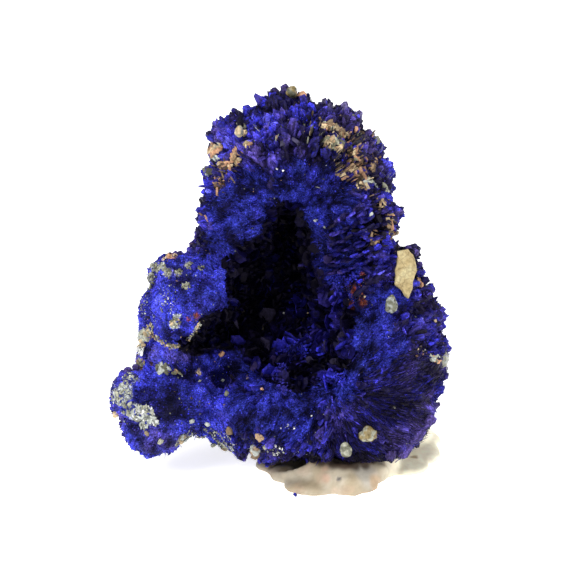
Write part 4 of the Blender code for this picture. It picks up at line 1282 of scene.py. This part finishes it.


# Tabular crystals that line the hollow, painted almost black in its depths as painted shade and lighter where the
# painted light reaches.
def makeDruse():
    rng = np.random.default_rng(41)
    index = spaced(zones["hollow"], druse["gap"], rng)
    points, normals = skinPoints[index], skinNormals[index]
    axes = unit(normals + rng.normal(0.0, druse["scatter"], points.shape))
    sides = unit(np.cross(axes, rng.normal(0.0, 1.0, points.shape)))
    lit = litAt(points)
    width = between(druse["width"], rng.random(len(index)) ** 2.0) * (1.0 + 0.5 * lit)
    thickness = between(druse["thickness"], rng.random(len(index)))
    sizes = np.stack([width, thickness, width * rng.uniform(0.7, 1.3, len(index))], 1)
    dark, added = druse["tint"]
    tint = dark + added * lit + rng.normal(0.0, 0.10, len(index))
    dark, added = druse["brightness"]
    colours = colourOf(points, tint, rng, flecks=0.0, dusky=0.6) * (dark + added * lit)[:, None]
    places = points - axes * (width * 0.35)[:, None]
    return grow("cavityDruse", plateShape, places, axes, sides, sizes, colours, rng, rootPaintedShade=0.5)


# Painted light in the hollow: places where its crystals are painted light enough to show: across, up, radius and how
# much.
litPlaces = (
    (-5.6, 11.6, 2.2, 0.9), (-3.4, 12.4, 2.0, 0.75), (-1.4, 16.8, 1.7, 0.7), (-1.2, 14.2, 1.7, 0.65),
    (-3.6, 14.8, 1.9, 0.5), (-7.0, 13.6, 1.7, 0.40), (-9.6, 9.6, 1.2, 0.35), (-7.2, 8.8, 1.5, 0.8),
    (-2.6, 19.8, 1.2, 0.45), (-1.0, 19.4, 1.2, 0.8), (-0.6, 12.0, 1.5, 0.55), (-2.2, 8.6, 1.6, 0.9),
    (-11.6, 10.4, 1.3, 0.6), (-13.6, 10.8, 1.0, 0.5), (-5.2, 16.2, 1.6, 0.35), (-0.2, 18.4, 1.2, 0.7),
    (0.6, 16.0, 1.0, 0.5), (-4.4, 20.0, 0.9, 0.15), (-11.6, 14.6, 0.8, 0.12),
)
# Painted shade in the hollow, in its pits and its cleft: across, up and radius.
paintedShadePlaces = (
    (-5.1, 9.3, 1.2), (-3.4, 10.0, 0.8), (-6.6, 5.9, 0.5), (-15.6, 12.4, 1.6), (-13.4, 12.6, 1.6), (0.6, 9.7, 0.8),
)


# How much painted light reaches into the hollow: its floor and right wall more than the rest, and much less in the
# painted shade of the pits.
def litAt(points):
    reach = np.zeros(len(points))
    for across, up, radius, share in litPlaces:
        reach = np.maximum(reach, share * spots(points, ((across, up, radius),), 1.5))
    return reach * (1.0 - 0.9 * spots(points, paintedShadePlaces, 0.9))


# Fuzzy ridges on the floor and the right side of the hollow: across and up of the ends, width, count and tint.
ridges = (
    ((-6.3, 11.7), (-4.3, 11.6), 0.55, 300, 0.52),
    ((-6.0, 11.2), (-7.2, 8.8), 0.60, 300, 0.46),
    ((-7.2, 8.8), (-6.4, 7.2), 0.50, 120, 0.44),
    ((-3.6, 8.9), (-0.6, 8.6), 0.60, 220, 0.46),
    ((-1.4, 17.6), (0.4, 18.8), 0.60, 160, 0.44),
)
ridgeGrains = {"size": (0.14, 0.34), "shape": (1.0, 0.7, 1.3), "raised": (0.3, 0.95)}


def makeRidges():
    rng = np.random.default_rng(43)
    rows = []
    for start, end, width, count, tint in ridges:
        for _ in range(count):
            point, _ = onFace(*strayed(start, end, rng.random(), width * 0.45, rng))
            towards = unit(np.array(eye) / mm - point)
            place = point + towards * rng.uniform(*ridgeGrains["raised"])
            rows.append((place, unit(towards + rng.normal(0.0, 0.5, 3)), tint + rng.normal(0.0, 0.10)))
    points, axes, tints = columnsOf(rows)
    sides = unit(np.cross(axes, rng.normal(0.0, 1.0, points.shape)))
    sizes = rng.uniform(*ridgeGrains["size"], len(points))[:, None] * np.array(ridgeGrains["shape"])
    colours = colourOf(points, tints, rng, flecks=0.0, azure=0.4)
    return grow("azuriteRidges", gemShape, points, axes, sides, sizes, colours, rng, jitter=0.15)


# Loose crumbs of azurite on and beside the putty, in the table's frame: place and half-size.
looseCrumbs = (
    ((-5.5, -12.1, 0.2), 0.24), ((0.7, -11.4, 0.5), 0.22), ((0.95, -11.3, 0.4), 0.14), ((0.5, -11.5, 0.35), 0.12),
)


def makeLoose():
    rng = np.random.default_rng(71)
    back = leanPose.inverted()
    points = np.array([back @ (Vector(place) * mm) for place, _ in looseCrumbs]) / mm
    axes = unit(rng.normal(0.0, 1.0, points.shape))
    sides = unit(np.cross(axes, rng.normal(0.0, 1.0, points.shape)))
    sizes = np.array([(half * 2, half * 1.6, half * 2) for _, half in looseCrumbs])
    colours = np.tile(np.array(palette["royal"]) * 0.8, (len(points), 1))
    return grow("azuriteLoose", gritShape, points, axes, sides, sizes, colours, rng, jitter=0.2)


blades = sum((makeBlades(name, **kind) for name, kind in bladeKinds.items()), [])
grit = sum((makeGrit(name, **kind) for name, kind in azuriteGrit["kinds"].items()), [])
fan, felt = makeFan(), makeFelt()
standingRng = np.random.default_rng(11)
standing = makeStanding("azuriteLarge", largeCrystals, blockShape, standingRng)
standing += makeRidges() + makeLedges() + makeLoose()
drusePieces = makeDruse() + makeStanding("cavityLit", litCrystals, plateShape, standingRng)
crystalPieces = blades + fan + grit + felt + standing + drusePieces


def report(pieces):
    for piece in pieces:
        print("grown:", piece.name, len(piece.data.polygons), "triangles")


report(crystalPieces)


# Crumbs, crusts and grains.

dustAndGlints = {"count": 260, "gap": 0.5, "halfSize": (0.02, 0.055), "colours": ("white", "chalk", "lichen", "clay")}
crumbShapes = {
    "crustGrowth": 1.15,  # the crusts' crumbs are this much larger than written
    "flatness": {"chalk": 0.5, "white": 0.5},
    "usualFlatness": 0.8,
    "lineFlatness": 0.7,
    "roundFrom": 0.55,  # crumbs wider than this are round pebbles
}


# Every crumb, crust and fleck of dust on the azurite, its white flecks partly painted glints: one mesh of pebbles and
# one of finer grains.
def makeCrumbs():
    rng = np.random.default_rng(53)
    rows = []

    def add(point, normal, halfAcross, halfUp, halfDeep, name):
        size = (2.0 * halfAcross, 2.0 * halfUp, 2.0 * halfDeep)
        rows.append((point, normal, size, np.array(palette[name]) * rng.uniform(0.4, 1.1)))

    for across, up, halfAcross, halfUp, name in crumbs:
        point, normal = onFace(across, up)
        add(point + normal * 0.15, normal, halfAcross, halfUp, 0.5 * (halfAcross + halfUp), name)
    for across, up, spreadAcross, spreadUp, count, small, large, names in crusts:
        for _ in range(count):
            turn, far = rng.uniform(0.0, 2.0 * math.pi), math.sqrt(rng.random())
            point, normal = onFace(across + spreadAcross * far * math.cos(turn), up + spreadUp * far * math.sin(turn))
            half = between((small, large), rng.random() ** 1.5) * crumbShapes["crustGrowth"]
            name = names[rng.integers(len(names))]
            place = point + normal * rng.uniform(0.0, 0.2)
            halfAcross, halfUp = half * rng.uniform(0.6, 1.2), half * rng.uniform(0.8, 2.0)
            halfDeep = half * crumbShapes["flatness"].get(name, crumbShapes["usualFlatness"])
            add(place, normal, halfAcross, halfUp, halfDeep, name)
    for path, spread, count, small, large, names in crustLines:
        for number in range(count):
            t = (number + rng.random()) / count * (len(path) - 1)
            point, normal = onFace(*strayed(path[int(t)], path[int(t) + 1], t % 1.0, spread * 0.6, rng))
            half = between((small, large), rng.random() ** 1.5)
            name = names[rng.integers(len(names))]
            place = point + normal * rng.uniform(0.0, 0.25)
            add(place, normal, half, half * rng.uniform(0.8, 1.8), half * crumbShapes["lineFlatness"], name)
    # Fine dust all over, its white flecks partly painted glints.
    for index in spaced(bare * ramp(skinPoints[:, 2], 0.5, 2.0), dustAndGlints["gap"], rng, dustAndGlints["count"]):
        half = between(dustAndGlints["halfSize"], rng.random() ** 2)
        name = dustAndGlints["colours"][rng.integers(len(dustAndGlints["colours"]))]
        add(skinPoints[index] + skinNormals[index] * 0.3, skinNormals[index], half, half, half, name)
    points, normals, sizes, colours = columnsOf(rows)
    upward = unit(np.cross(square(normals, (0.0, 0.0, 1.0)), normals))
    upward = turnAbout(normals, upward, rng.uniform(-1.2, 1.2, len(points)))
    pebbles = sizes.max(1) > crumbShapes["roundFrom"]
    pieces = []
    for name, shape, which in (("mineralCrumbs", pebbleShape, pebbles), ("mineralCrusts", gemShape, ~pebbles)):
        pieces += grow(name, shape, *kept(which, points, normals, upward, sizes, colours), rng, jitter=0.26)
    return pieces


def makeSlivers():
    rng = np.random.default_rng(73)
    rows = []
    for across, up, spreadAcross, spreadUp, count, length, names in slivers:
        for _ in range(count):
            offAcross, offUp = spreadAcross * rng.uniform(-1.0, 1.0), spreadUp * rng.uniform(-1.0, 1.0)
            point, normal = onFace(across + offAcross, up + offUp)
            axis = unit(outward(point[None])[0] + rng.normal(0.0, 0.25, 3))
            side = unit(np.cross(axis, normal) + rng.normal(0.0, 0.3, 3))
            size = length * rng.uniform(0.5, 1.5)
            wide = rng.uniform(0.05, 0.18)
            tone = np.array(palette[names[rng.integers(len(names))]]) * (0.15 + 0.85 * rng.random() ** 2)
            place = point - axis * size * 0.4 + normal * rng.uniform(0.0, 0.45)
            rows.append((place, axis, side, (wide, wide * 0.6, size), tone))
    return grow("paleSlivers", bladeShape, *columnsOf(rows), rng, jitter=0.25)


crumbPieces = makeCrumbs() + makePaleBlades() + makeSlivers()
report(crumbPieces)

# The larger grains: two colours each. Each stands where its own solid is.
grains = {
    "pale_grain_peak": ("moss", "honey"),
    "pale_grain_crown_left": ("lichen", "cream"),
    "pale_grain_crown_right": ("moss", "lichen"),
    "pale_grain_shoulder": ("moss", "chalk"),
    "pale_grain_right_edge": ("lichen", "chalk"),
    "pale_grain_lower_right": ("lichen", "honey"),
    "pale_grain_lower_middle": ("moss", "lichen"),
    "pale_grain_bottom_left": ("tan", "chalk"),
}
grainForm = {
    "fill": 0.97,  # of the solid's box
    "facets": (0.9, 0.34),  # size in mm and depth
    "ripple": (0.3, 0.16),
    "tones": (0.42, 0.58),
}


# A rounded quartz grain with worn facets that fills the box of its solid.
def makeGrain(name, first, second):
    low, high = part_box(name)
    middle, size = (low + high) / 2, high - low
    pickNone()
    bpy.ops.mesh.primitive_ico_sphere_add(subdivisions=4, radius=0.5, location=middle, scale=size)
    grain = settled()
    grain.name = "quartz" + "".join(word.title() for word in name.split("_")[2:])
    points, _ = readCorners(grain)
    centre = np.array(middle) / mm
    facetSize, facetDepth = grainForm["facets"]
    rippleSize, rippleDepth = grainForm["ripple"]
    facets = facetDepth * (domes(points, facetSize, 31.0) - 0.5)
    ripple = rippleDepth * (cloud(points, rippleSize, 13.0) - 0.5)
    moved = (centre + (points - centre) * (grainForm["fill"] + facets + ripple)[:, None]) * mm
    grain.data.vertices.foreach_set("co", moved.ravel())
    share = ramp(cloud(points, 0.5, 7.0), *grainForm["tones"])
    paint(grain.data, blend(np.tile(palette[first], (len(points), 1)), palette[second], share))
    return grain


grainPieces = {name: makeGrain(name, *tones) for name, tones in grains.items()}

chipFlake = {
    "thickness": 1.0,
    "rings": ((-0.5, 0.9), (-0.3, 1.0), (0.5, 1.0)),  # depth as a share of the thickness, and size
    "voxel": 0.09,
    "soften": 1,
    "lumps": (("CLOUDS", 0.8, 0.14), ("VORONOI", 0.5, 0.08)),
    "outline": (  # across and up, round the flake
        (4.5, 21.25), (4.9, 21.3), (5.55, 21.45), (6.05, 20.9), (6.35, 19.9), (6.4, 19.3), (6.1, 18.4),
        (6.0, 17.5), (5.6, 16.6), (5.25, 16.8), (4.9, 17.4), (4.25, 18.0), (4.35, 18.8), (4.25, 19.4), (4.5, 20.0),
        (4.55, 20.8),
    ),
}


# A flat flake of cream rock on the right shoulder.
def makeChip():
    low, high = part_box("cream_chip")
    front = np.array(leanPose.inverted() @ ((low + high) / 2)) / mm
    outline = np.array(chipFlake["outline"])
    count, middle = len(outline), outline.mean(0)
    corners = []
    for depth, share in chipFlake["rings"]:
        for across, up in middle + (outline - middle) * share:
            corners.append((across, front[1] + depth * chipFlake["thickness"], up))
    faces = [tuple(range(count))[::-1], tuple(range(2 * count, 3 * count))]
    for ring in (0, count):
        for i in range(count):
            j = (i + 1) % count
            faces.append((ring + i, ring + j, ring + count + j, ring + count + i))
    mesh = bpy.data.meshes.new("creamChip")
    mesh.from_pydata([Vector(corner) * mm for corner in corners], [], faces)
    chip = linked("creamChip", mesh)
    pickNone()
    chip.select_set(True)
    bpy.context.view_layer.objects.active = chip
    bpy.ops.object.mode_set(mode="EDIT")
    bpy.ops.mesh.select_all(action="SELECT")
    bpy.ops.mesh.normals_make_consistent(inside=False)
    bpy.ops.object.mode_set(mode="OBJECT")
    remesh(chip, chipFlake["voxel"], chipFlake["soften"])
    for lumps in chipFlake["lumps"]:
        lump(chip, *lumps)
    return chip


creamChip = makeChip()


# The putty.

puttyBlobs = (  # middles and half-sizes in the table's frame, fused onto the pad's own form
    ((-3.6, -9.7, 0.2), (3.0, 2.4, 0.8)),
    ((0.2, -9.8, 0.2), (2.6, 1.9, 0.8)),
    ((-2.3, -9.2, 1.0), (1.5, 0.9, 1.1)),
    ((2.2, -8.2, 0.9), (1.8, 1.0, 1.2)),
    ((-6.6, -7.2, 0.4), (1.4, 1.6, 0.9)),
    ((-8.0, -4.8, 0.4), (1.5, 1.2, 0.7)),
    ((5.2, -4.6, 0.2), (3.0, 2.4, 0.7)),
    ((7.2, -1.0, 0.2), (2.4, 3.4, 0.8)),
    ((8.1, 2.4, 0.2), (1.6, 2.4, 0.8)),
)
puttyReach = (  # turn in degrees, share of the pad's radius
    (-180, 1.0), (-150, 1.0), (-125, 1.03), (-108, 1.03), (-88, 0.99), (-64, 0.79), (-45, 0.70), (-24, 0.66),
    (0, 0.80), (14, 0.92), (30, 1.0), (180, 1.0),
)
# Most tones are flecks and tints of the putty; the pale one at (1.6, -1.0) is a painted highlight on the front ridge,
# and the dark browns from (-4.0, 0.7) to (2.2, 0.4) are painted shadow in the gap under the azurite.
puttyTonesAndPaintedLight = (  # across and up as seen from the front, radius, colour
    (1.6, -1.0, 1.9, (0.45, 0.42, 0.36)), (-2.4, -1.4, 0.6, (0.46, 0.31, 0.22)),
    (-2.5, -0.4, 0.5, (0.44, 0.31, 0.22)), (2.6, -2.0, 1.0, (0.50, 0.34, 0.24)),
    (-1.1, -1.5, 0.28, (0.08, 0.07, 0.07)), (-7.0, -0.7, 0.25, (0.12, 0.10, 0.08)),
    (6.4, 0.7, 0.5, (0.38, 0.26, 0.14)), (-4.0, 0.7, 0.6, (0.06, 0.035, 0.02)),
    (-2.8, 0.3, 0.9, (0.05, 0.03, 0.02)), (-1.6, 0.1, 1.0, (0.05, 0.03, 0.02)),
    (-0.6, 0.0, 1.0, (0.05, 0.03, 0.02)), (0.4, 0.0, 1.0, (0.05, 0.03, 0.02)),
    (1.4, 0.1, 0.9, (0.06, 0.035, 0.02)), (2.2, 0.4, 0.6, (0.09, 0.05, 0.03)),
    (-6.6, -0.6, 0.7, (0.34, 0.26, 0.16)), (2.6, -1.9, 1.2, (0.50, 0.36, 0.22)),
)
puttyPress = {
    "voxel": 0.24,
    "soften": 5,
    "lumps": (("CLOUDS", 2.2, 0.24), ("CLOUDS", 0.8, 0.14)),
    "lowest": 0.02,
    "beige": (0.41, 0.335, 0.225),
    "paler": (0.46, 0.40, 0.30),
    # Painted light: the bright right part of the pad, where it begins and is full, and its colour.
    "rightSide": (2.6, 5.6),  # where the bright right part begins and is full
    "bright": (1.0, 0.93, 0.72),
    "stains": (  # colour, size and shift of the noise, and where a stain begins and is full
        ((0.50, 0.34, 0.24), 1.2, 25.0, 0.55, 0.7),
        ((0.30, 0.24, 0.16), 0.5, 35.0, 0.62, 0.72),
    ),
    "stained": 0.3,
    "toned": 0.92,
}


# The pressed pad of putty, fused from its own solid and the folds squeezed out at the front.
def makePutty():
    source = nodes["putty_pad"]
    pad = linked("puttyPad", source.data.copy())
    pad.data.transform(source.matrix_world)
    points, _ = readCorners(pad)
    turns = np.degrees(np.arctan2(points[:, 1], points[:, 0]))
    points[:, :2] *= np.interp(turns, *zip(*puttyReach))[:, None]
    pad.data.vertices.foreach_set("co", (points * mm).ravel())
    fuse(pad, addBalls(puttyBlobs), puttyPress["voxel"], puttyPress["soften"])
    for lumps in puttyPress["lumps"]:
        lump(pad, *lumps)
    points, _ = readCorners(pad)
    points[:, 2] = np.maximum(points[:, 2], puttyPress["lowest"])
    pad.data.vertices.foreach_set("co", (points * mm).ravel())
    pad.data.update()
    paintPutty(pad, points)
    pad.data.shade_smooth()
    return pad


# Beige with faint stains, painted brighter on the right as painted light, and toned where the putty tones say: flecks
# and tints, a painted highlight on the front ridge and painted shadow under the azurite.
def paintPutty(pad, points):
    colours = np.tile(puttyPress["beige"], (len(points), 1))
    colours = blend(colours, puttyPress["paler"], ramp(cloud(points, 2.2, 5.0), 0.35, 0.6))
    paintedLightOnRight = ramp(points[:, 0], *puttyPress["rightSide"])
    # Painted light on the right part of the pad.
    colours = blend(colours, puttyPress["bright"], paintedLightOnRight)
    for tone, size, shift, low, high in puttyPress["stains"]:
        stain = puttyPress["stained"] * ramp(cloud(points, size, shift), low, high)
        colours = blend(colours, tone, stain * (1.0 - paintedLightOnRight))
    turned = bpy.data.objects.new("turned", pad.data.copy())
    turned.data.transform(leanPose.inverted())
    tree = treeOf(turned)
    discard(turned)
    toWorld = np.array(leanPose)
    # Flecks and tints, with a painted highlight and painted shadow.
    for across, up, radius, tone in puttyTonesAndPaintedLight:
        place, _ = meet(tree, across, up)
        place = place @ toWorld[:3, :3].T + toWorld[:3, 3] / mm
        away = np.linalg.norm(points - place, axis=1) / radius
        colours = blend(colours, tone, puttyPress["toned"] * (1.0 - ramp(away, 0.45, 1.1)))
    paint(pad.data, colours, points)


puttyPad = makePutty()
print("putty pressed:", len(puttyPad.data.polygons), "faces")


# Materials.


def newMaterial(name):
    made = bpy.data.materials.new(name)
    made.use_nodes = True
    tree = made.node_tree
    return made, tree, tree.nodes["Principled BSDF"]


def colourRamp(tree, factor, stops):
    rampNode = tree.nodes.new("ShaderNodeValToRGB")
    elements = rampNode.color_ramp.elements
    while len(elements) < len(stops):
        elements.new(0.5)
    for element, (position, colour) in zip(elements, stops):
        element.position = position
        element.color = (*colour, 1.0)
    tree.links.new(factor, rampNode.inputs["Fac"])
    return rampNode.outputs["Color"]


def mixColour(tree, factor, first, second, blendType="MIX"):
    mix = tree.nodes.new("ShaderNodeMix")
    mix.data_type, mix.blend_type = "RGBA", blendType
    for socket, value in ((mix.inputs["Factor"], factor), (mix.inputs[6], first), (mix.inputs[7], second)):
        if isinstance(value, (int, float)):
            socket.default_value = value
        elif isinstance(value, tuple):
            socket.default_value = (*value, 1.0)
        else:
            tree.links.new(value, socket)
    return mix.outputs[2]


def stored(tree, name, output):
    source = tree.nodes.new("ShaderNodeAttribute")
    source.attribute_name = name
    return source.outputs[output]


# An empty node group with its sockets, and its input and output nodes.
def newGroup(name, inputs, outputs):
    group = bpy.data.node_groups.new(name, "ShaderNodeTree")
    for sockets, direction in ((inputs, "INPUT"), (outputs, "OUTPUT")):
        for label, kind in sockets:
            group.interface.new_socket(name=label, in_out=direction, socket_type="NodeSocket" + kind)
    return group, group.nodes.new("NodeGroupInput"), group.nodes.new("NodeGroupOutput")


def addNoise(tree, scale, where, roughness):
    made = tree.nodes.new("ShaderNodeTexNoise")
    made.inputs["Detail"].default_value = 3.0
    made.inputs["Roughness"].default_value = roughness
    tree.links.new(scale, made.inputs["Scale"])
    tree.links.new(where, made.inputs["Vector"])
    return made.outputs["Fac"]


# Light and dark grains over a colour and, where streaked, along the crystals too, with the height of both.
def makeGrainGroup(name, streaked, stops):
    inputs = [("Color", "Color"), ("Contrast", "Float"), ("Grain Scale", "Float")]
    if streaked:
        inputs.append(("Streak Scale", "Float"))
    group, given, result = newGroup(name, inputs, [("Color", "Color"), ("Height", "Float")])
    patterns = [("Grain Scale", group.nodes.new("ShaderNodeTexCoord").outputs["Object"], 0.7)]
    if streaked:
        patterns.append(("Streak Scale", stored(group, "streak", "Vector"), 0.6))
    colour, height = given.outputs["Color"], None
    for label, where, roughness in patterns:
        factor = addNoise(group, given.outputs[label], where, roughness)
        colour = mixColour(group, given.outputs["Contrast"], colour, colourRamp(group, factor, stops), "MULTIPLY")
        if height is None:
            height = factor
        else:
            both = group.nodes.new("ShaderNodeMath")
            group.links.new(height, both.inputs[0])
            group.links.new(factor, both.inputs[1])
            height = both.outputs["Value"]
    group.links.new(colour, result.inputs["Color"])
    group.links.new(height, result.inputs["Height"])
    return group


def greys(*stops):
    return [(position, (level, level, level)) for position, level in stops]


crystalGrain = makeGrainGroup("crystalGrain", True, greys((0.35, 0.0), (0.5, 0.93), (0.67, 2.3)))
mineralGrain = makeGrainGroup("mineralGrain", False, greys((0.32, 0.0), (0.5, 1.0), (0.68, 2.0)))


# Places a shared effect in a material, with the material's own values.
def grained(tree, effect, colour, values):
    placed = tree.nodes.new("ShaderNodeGroup")
    placed.node_tree = effect
    for label, value in values.items():
        placed.inputs[label].default_value = value
    tree.links.new(colour, placed.inputs["Color"])
    return placed.outputs["Color"], placed.outputs["Height"]


def bumped(tree, shader, height, distance, strength):
    bump = tree.nodes.new("ShaderNodeBump")
    bump.inputs["Distance"].default_value = distance
    bump.inputs["Strength"].default_value = strength
    tree.links.new(height, bump.inputs["Height"])
    tree.links.new(bump.outputs["Normal"], shader.inputs["Normal"])


# The colour grown into the points, with a grain over it and the shader's own values.
def makeGrown(name, effect, values, bump, sockets):
    made, tree, shader = newMaterial(name)
    colour, height = grained(tree, effect, stored(tree, "growth", "Color"), values)
    tree.links.new(colour, shader.inputs["Base Color"])
    for label, value in sockets.items():
        shader.inputs[label].default_value = value
    bumped(tree, shader, height, *bump)
    return made


# Values of the grain, then the depth in metres and the strength of its relief, then the shader's sockets.
azuriteLooks = {
    "azurite": (
        {"Streak Scale": 3.6, "Grain Scale": 5500.0, "Contrast": 0.65},
        (0.00008, 1.0),
        {"Roughness": 0.42, "Specular IOR Level": 0.19},
    ),
    "azuriteFelted": (
        {"Streak Scale": 3.6, "Grain Scale": 6500.0, "Contrast": 0.7},
        (0.00008, 1.0),
        {"Roughness": 0.6, "Specular IOR Level": 0.10},
    ),
    "cavityAzurite": (
        {"Streak Scale": 2.4, "Grain Scale": 3500.0, "Contrast": 0.45},
        (0.00008, 0.5),
        {"Roughness": 0.4, "Specular IOR Level": 0.07},
    ),
}
azuriteSheen = {"IOR": 1.5, "Specular Tint": (0.8, 0.70, 1.0, 1.0)}
mineralLooks = {
    "crumbMineral": (
        {"Grain Scale": 5000.0, "Contrast": 0.3},
        (0.00004, 0.8),
        {"Roughness": 0.7, "IOR": 1.45},
    ),
    "quartz": (
        {"Grain Scale": 2500.0, "Contrast": 0.45},
        (0.00004, 0.7),
        {"Roughness": 0.25, "IOR": 1.5, "Transmission Weight": 0.35},
    ),
    "putty": (
        {"Grain Scale": 1400.0, "Contrast": 0.08},
        (0.00004, 0.5),
        {"Roughness": 0.5, "IOR": 1.45, "Subsurface Weight": 0.2, "Subsurface Radius": (0.0010, 0.0008, 0.0006)},
    ),
}
azurite, felted, cavityAzurite = (
    makeGrown(name, crystalGrain, values, bump, azuriteSheen | sockets)
    for name, (values, bump, sockets) in azuriteLooks.items()
)
crumbMineral, quartz, putty = (makeGrown(name, mineralGrain, *look) for name, look in mineralLooks.items())

creamRockLook = {
    "toneScale": 900.0,
    "tones": ((0.3, (0.28, 0.21, 0.09)), (0.5, (0.36, 0.28, 0.135)), (0.72, (0.44, 0.38, 0.21))),
    "crackScale": 1100.0,
    "cracks": ((0.0, (0.55, 0.5, 0.42)), (0.06, (1.0, 1.0, 1.0))),
    "cracked": 0.7,
    "grain": {"Grain Scale": 4000.0, "Contrast": 0.25},
    "bump": (0.00005, 0.7),
    "roughness": 0.75,
}


# Pale rock: broad tones, a network of faint cracks and a fine grain.
def makeCreamRock():
    made, tree, shader = newMaterial("creamRock")
    where = tree.nodes.new("ShaderNodeTexCoord").outputs["Object"]
    tones = tree.nodes.new("ShaderNodeTexNoise")
    tones.inputs["Scale"].default_value = creamRockLook["toneScale"]
    tree.links.new(where, tones.inputs["Vector"])
    broad = colourRamp(tree, tones.outputs["Fac"], creamRockLook["tones"])
    cracks = tree.nodes.new("ShaderNodeTexVoronoi")
    cracks.feature = "DISTANCE_TO_EDGE"
    cracks.inputs["Scale"].default_value = creamRockLook["crackScale"]
    tree.links.new(where, cracks.inputs["Vector"])
    faint = colourRamp(tree, cracks.outputs["Distance"], creamRockLook["cracks"])
    colour = mixColour(tree, creamRockLook["cracked"], broad, faint, "MULTIPLY")
    colour, height = grained(tree, mineralGrain, colour, creamRockLook["grain"])
    tree.links.new(colour, shader.inputs["Base Color"])
    shader.inputs["Roughness"].default_value = creamRockLook["roughness"]
    bumped(tree, shader, height, *creamRockLook["bump"])
    return made


creamRock = makeCreamRock()


skinTint = {
    "level": 0.16,
    # rise: painted light on the lumps and painted shade in the creases.
    "rise": 0.55,
    "felt": 0.20,
    "left": 0.12,
    "fan": 0.04,
    "hollow": (0.02, 0.30),  # out of the light, and what the light adds
    "hollowDarkened": (0.75, 0.6),  # out of the light, and how much less in it
}


# Painted shade in the creases and painted light on the lumps, as the crystals on it have.
def paintSkin(form):
    points, normals = readCorners(form)
    at = zonesAt(points, normals)
    lit = litAt(points)
    tint = skinTint["level"] + skinTint["rise"] * (skinRise - 0.5) + skinTint["felt"] * at["felt"]
    tint = tint + skinTint["left"] * at["left"] * at["facing"] + skinTint["fan"] * at["fan"]
    # Painted shade in the hollow, lighter where the painted light of litAt reaches.
    dark, added = skinTint["hollow"]
    tint = tint * (1.0 - at["hollow"]) + (dark + added * lit) * at["hollow"]
    colours = colourOf(points, tint, np.random.default_rng(61), azure=at["felt"])
    darkened, less = skinTint["hollowDarkened"]
    colours = colours * (1.0 - at["hollow"] * (darkened - less * lit))[:, None]
    paint(form.data, colours, alongSprays(points))


def finishPiece(piece, look, slot, *stoodFor):
    piece.data.materials.clear()
    piece.data.materials.append(look)
    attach(piece, "root")
    if stoodFor:
        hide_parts(*stoodFor)


paintSkin(azuriteNodule)
discard(hollowForm)
for piece in [azuriteNodule, creamChip] + crystalPieces + crumbPieces:
    piece.data.transform(leanPose)
finishPiece(azuriteNodule, felted, "azurite", "azurite_cluster")
for piece in blades + fan + standing:
    finishPiece(piece, azurite, "azurite")
for piece in grit + felt:
    finishPiece(piece, felted, "azurite")
finishPiece(drusePieces[0], cavityAzurite, "cavity_azurite", "cavity_crystals")
for piece in drusePieces[1:]:
    finishPiece(piece, cavityAzurite, "cavity_azurite")
for piece in crumbPieces:
    finishPiece(piece, crumbMineral, "pale_mineral")
for name, piece in grainPieces.items():
    finishPiece(piece, quartz, "pale_mineral", name)
finishPiece(creamChip, creamRock, "cream_rock", "cream_chip")
finishPiece(puttyPad, putty, "putty", "putty_pad")
print("pieces finished")


# Studio.

studio = {
    "floorSize": 4.0,
    "floorColour": (0.9, 0.9, 0.9, 1.0),
    "floorGlow": 0.75,
    "worldStrength": 0.22,
    "aim": (-0.006, 0.0, 0.015),
    "lights": {  # place, size, power
        "above": ((-0.08, -0.02, 0.50), 0.35, 2.1),
        "left": ((-0.32, -0.34, 0.34), 0.20, 2.0),
        "front": ((0.22, -0.50, 0.20), 0.35, 0.6),
        "right": ((0.34, -0.02, 0.12), 0.20, 0.7),
    },
}


def makeStudio():
    pickNone()
    bpy.ops.mesh.primitive_plane_add(size=studio["floorSize"])
    floor = bpy.context.object
    floor.name = "floor"
    look, tree, shader = newMaterial("paperWhite")
    shader.inputs["Base Color"].default_value = studio["floorColour"]
    shader.inputs["Roughness"].default_value = 1.0
    shader.inputs["Emission Color"].default_value = (1.0, 1.0, 1.0, 1.0)
    shader.inputs["Emission Strength"].default_value = studio["floorGlow"]
    floor.data.materials.append(look)

    world = bpy.data.worlds.new("studioWhite")
    world.use_nodes = True
    tree = world.node_tree
    background = tree.nodes["Background"]
    background.inputs["Color"].default_value = (1.0, 1.0, 1.0, 1.0)
    rays = tree.nodes.new("ShaderNodeLightPath")
    strength = tree.nodes.new("ShaderNodeMapRange")
    strength.inputs["To Min"].default_value = studio["worldStrength"]
    strength.inputs["To Max"].default_value = 1.0
    tree.links.new(rays.outputs["Is Camera Ray"], strength.inputs["Value"])
    tree.links.new(strength.outputs["Result"], background.inputs["Strength"])
    bpy.context.scene.world = world

    for name, (place, size, power) in studio["lights"].items():
        bpy.ops.object.light_add(type="AREA", location=place)
        light = bpy.context.object
        light.name = name + "Light"
        light.data.size = size
        light.data.energy = power
        light.rotation_euler = (Vector(studio["aim"]) - Vector(place)).to_track_quat("-Z", "Y").to_euler()
    bpy.context.scene.view_settings.view_transform = "Standard"


makeStudio()
print("studio lit")
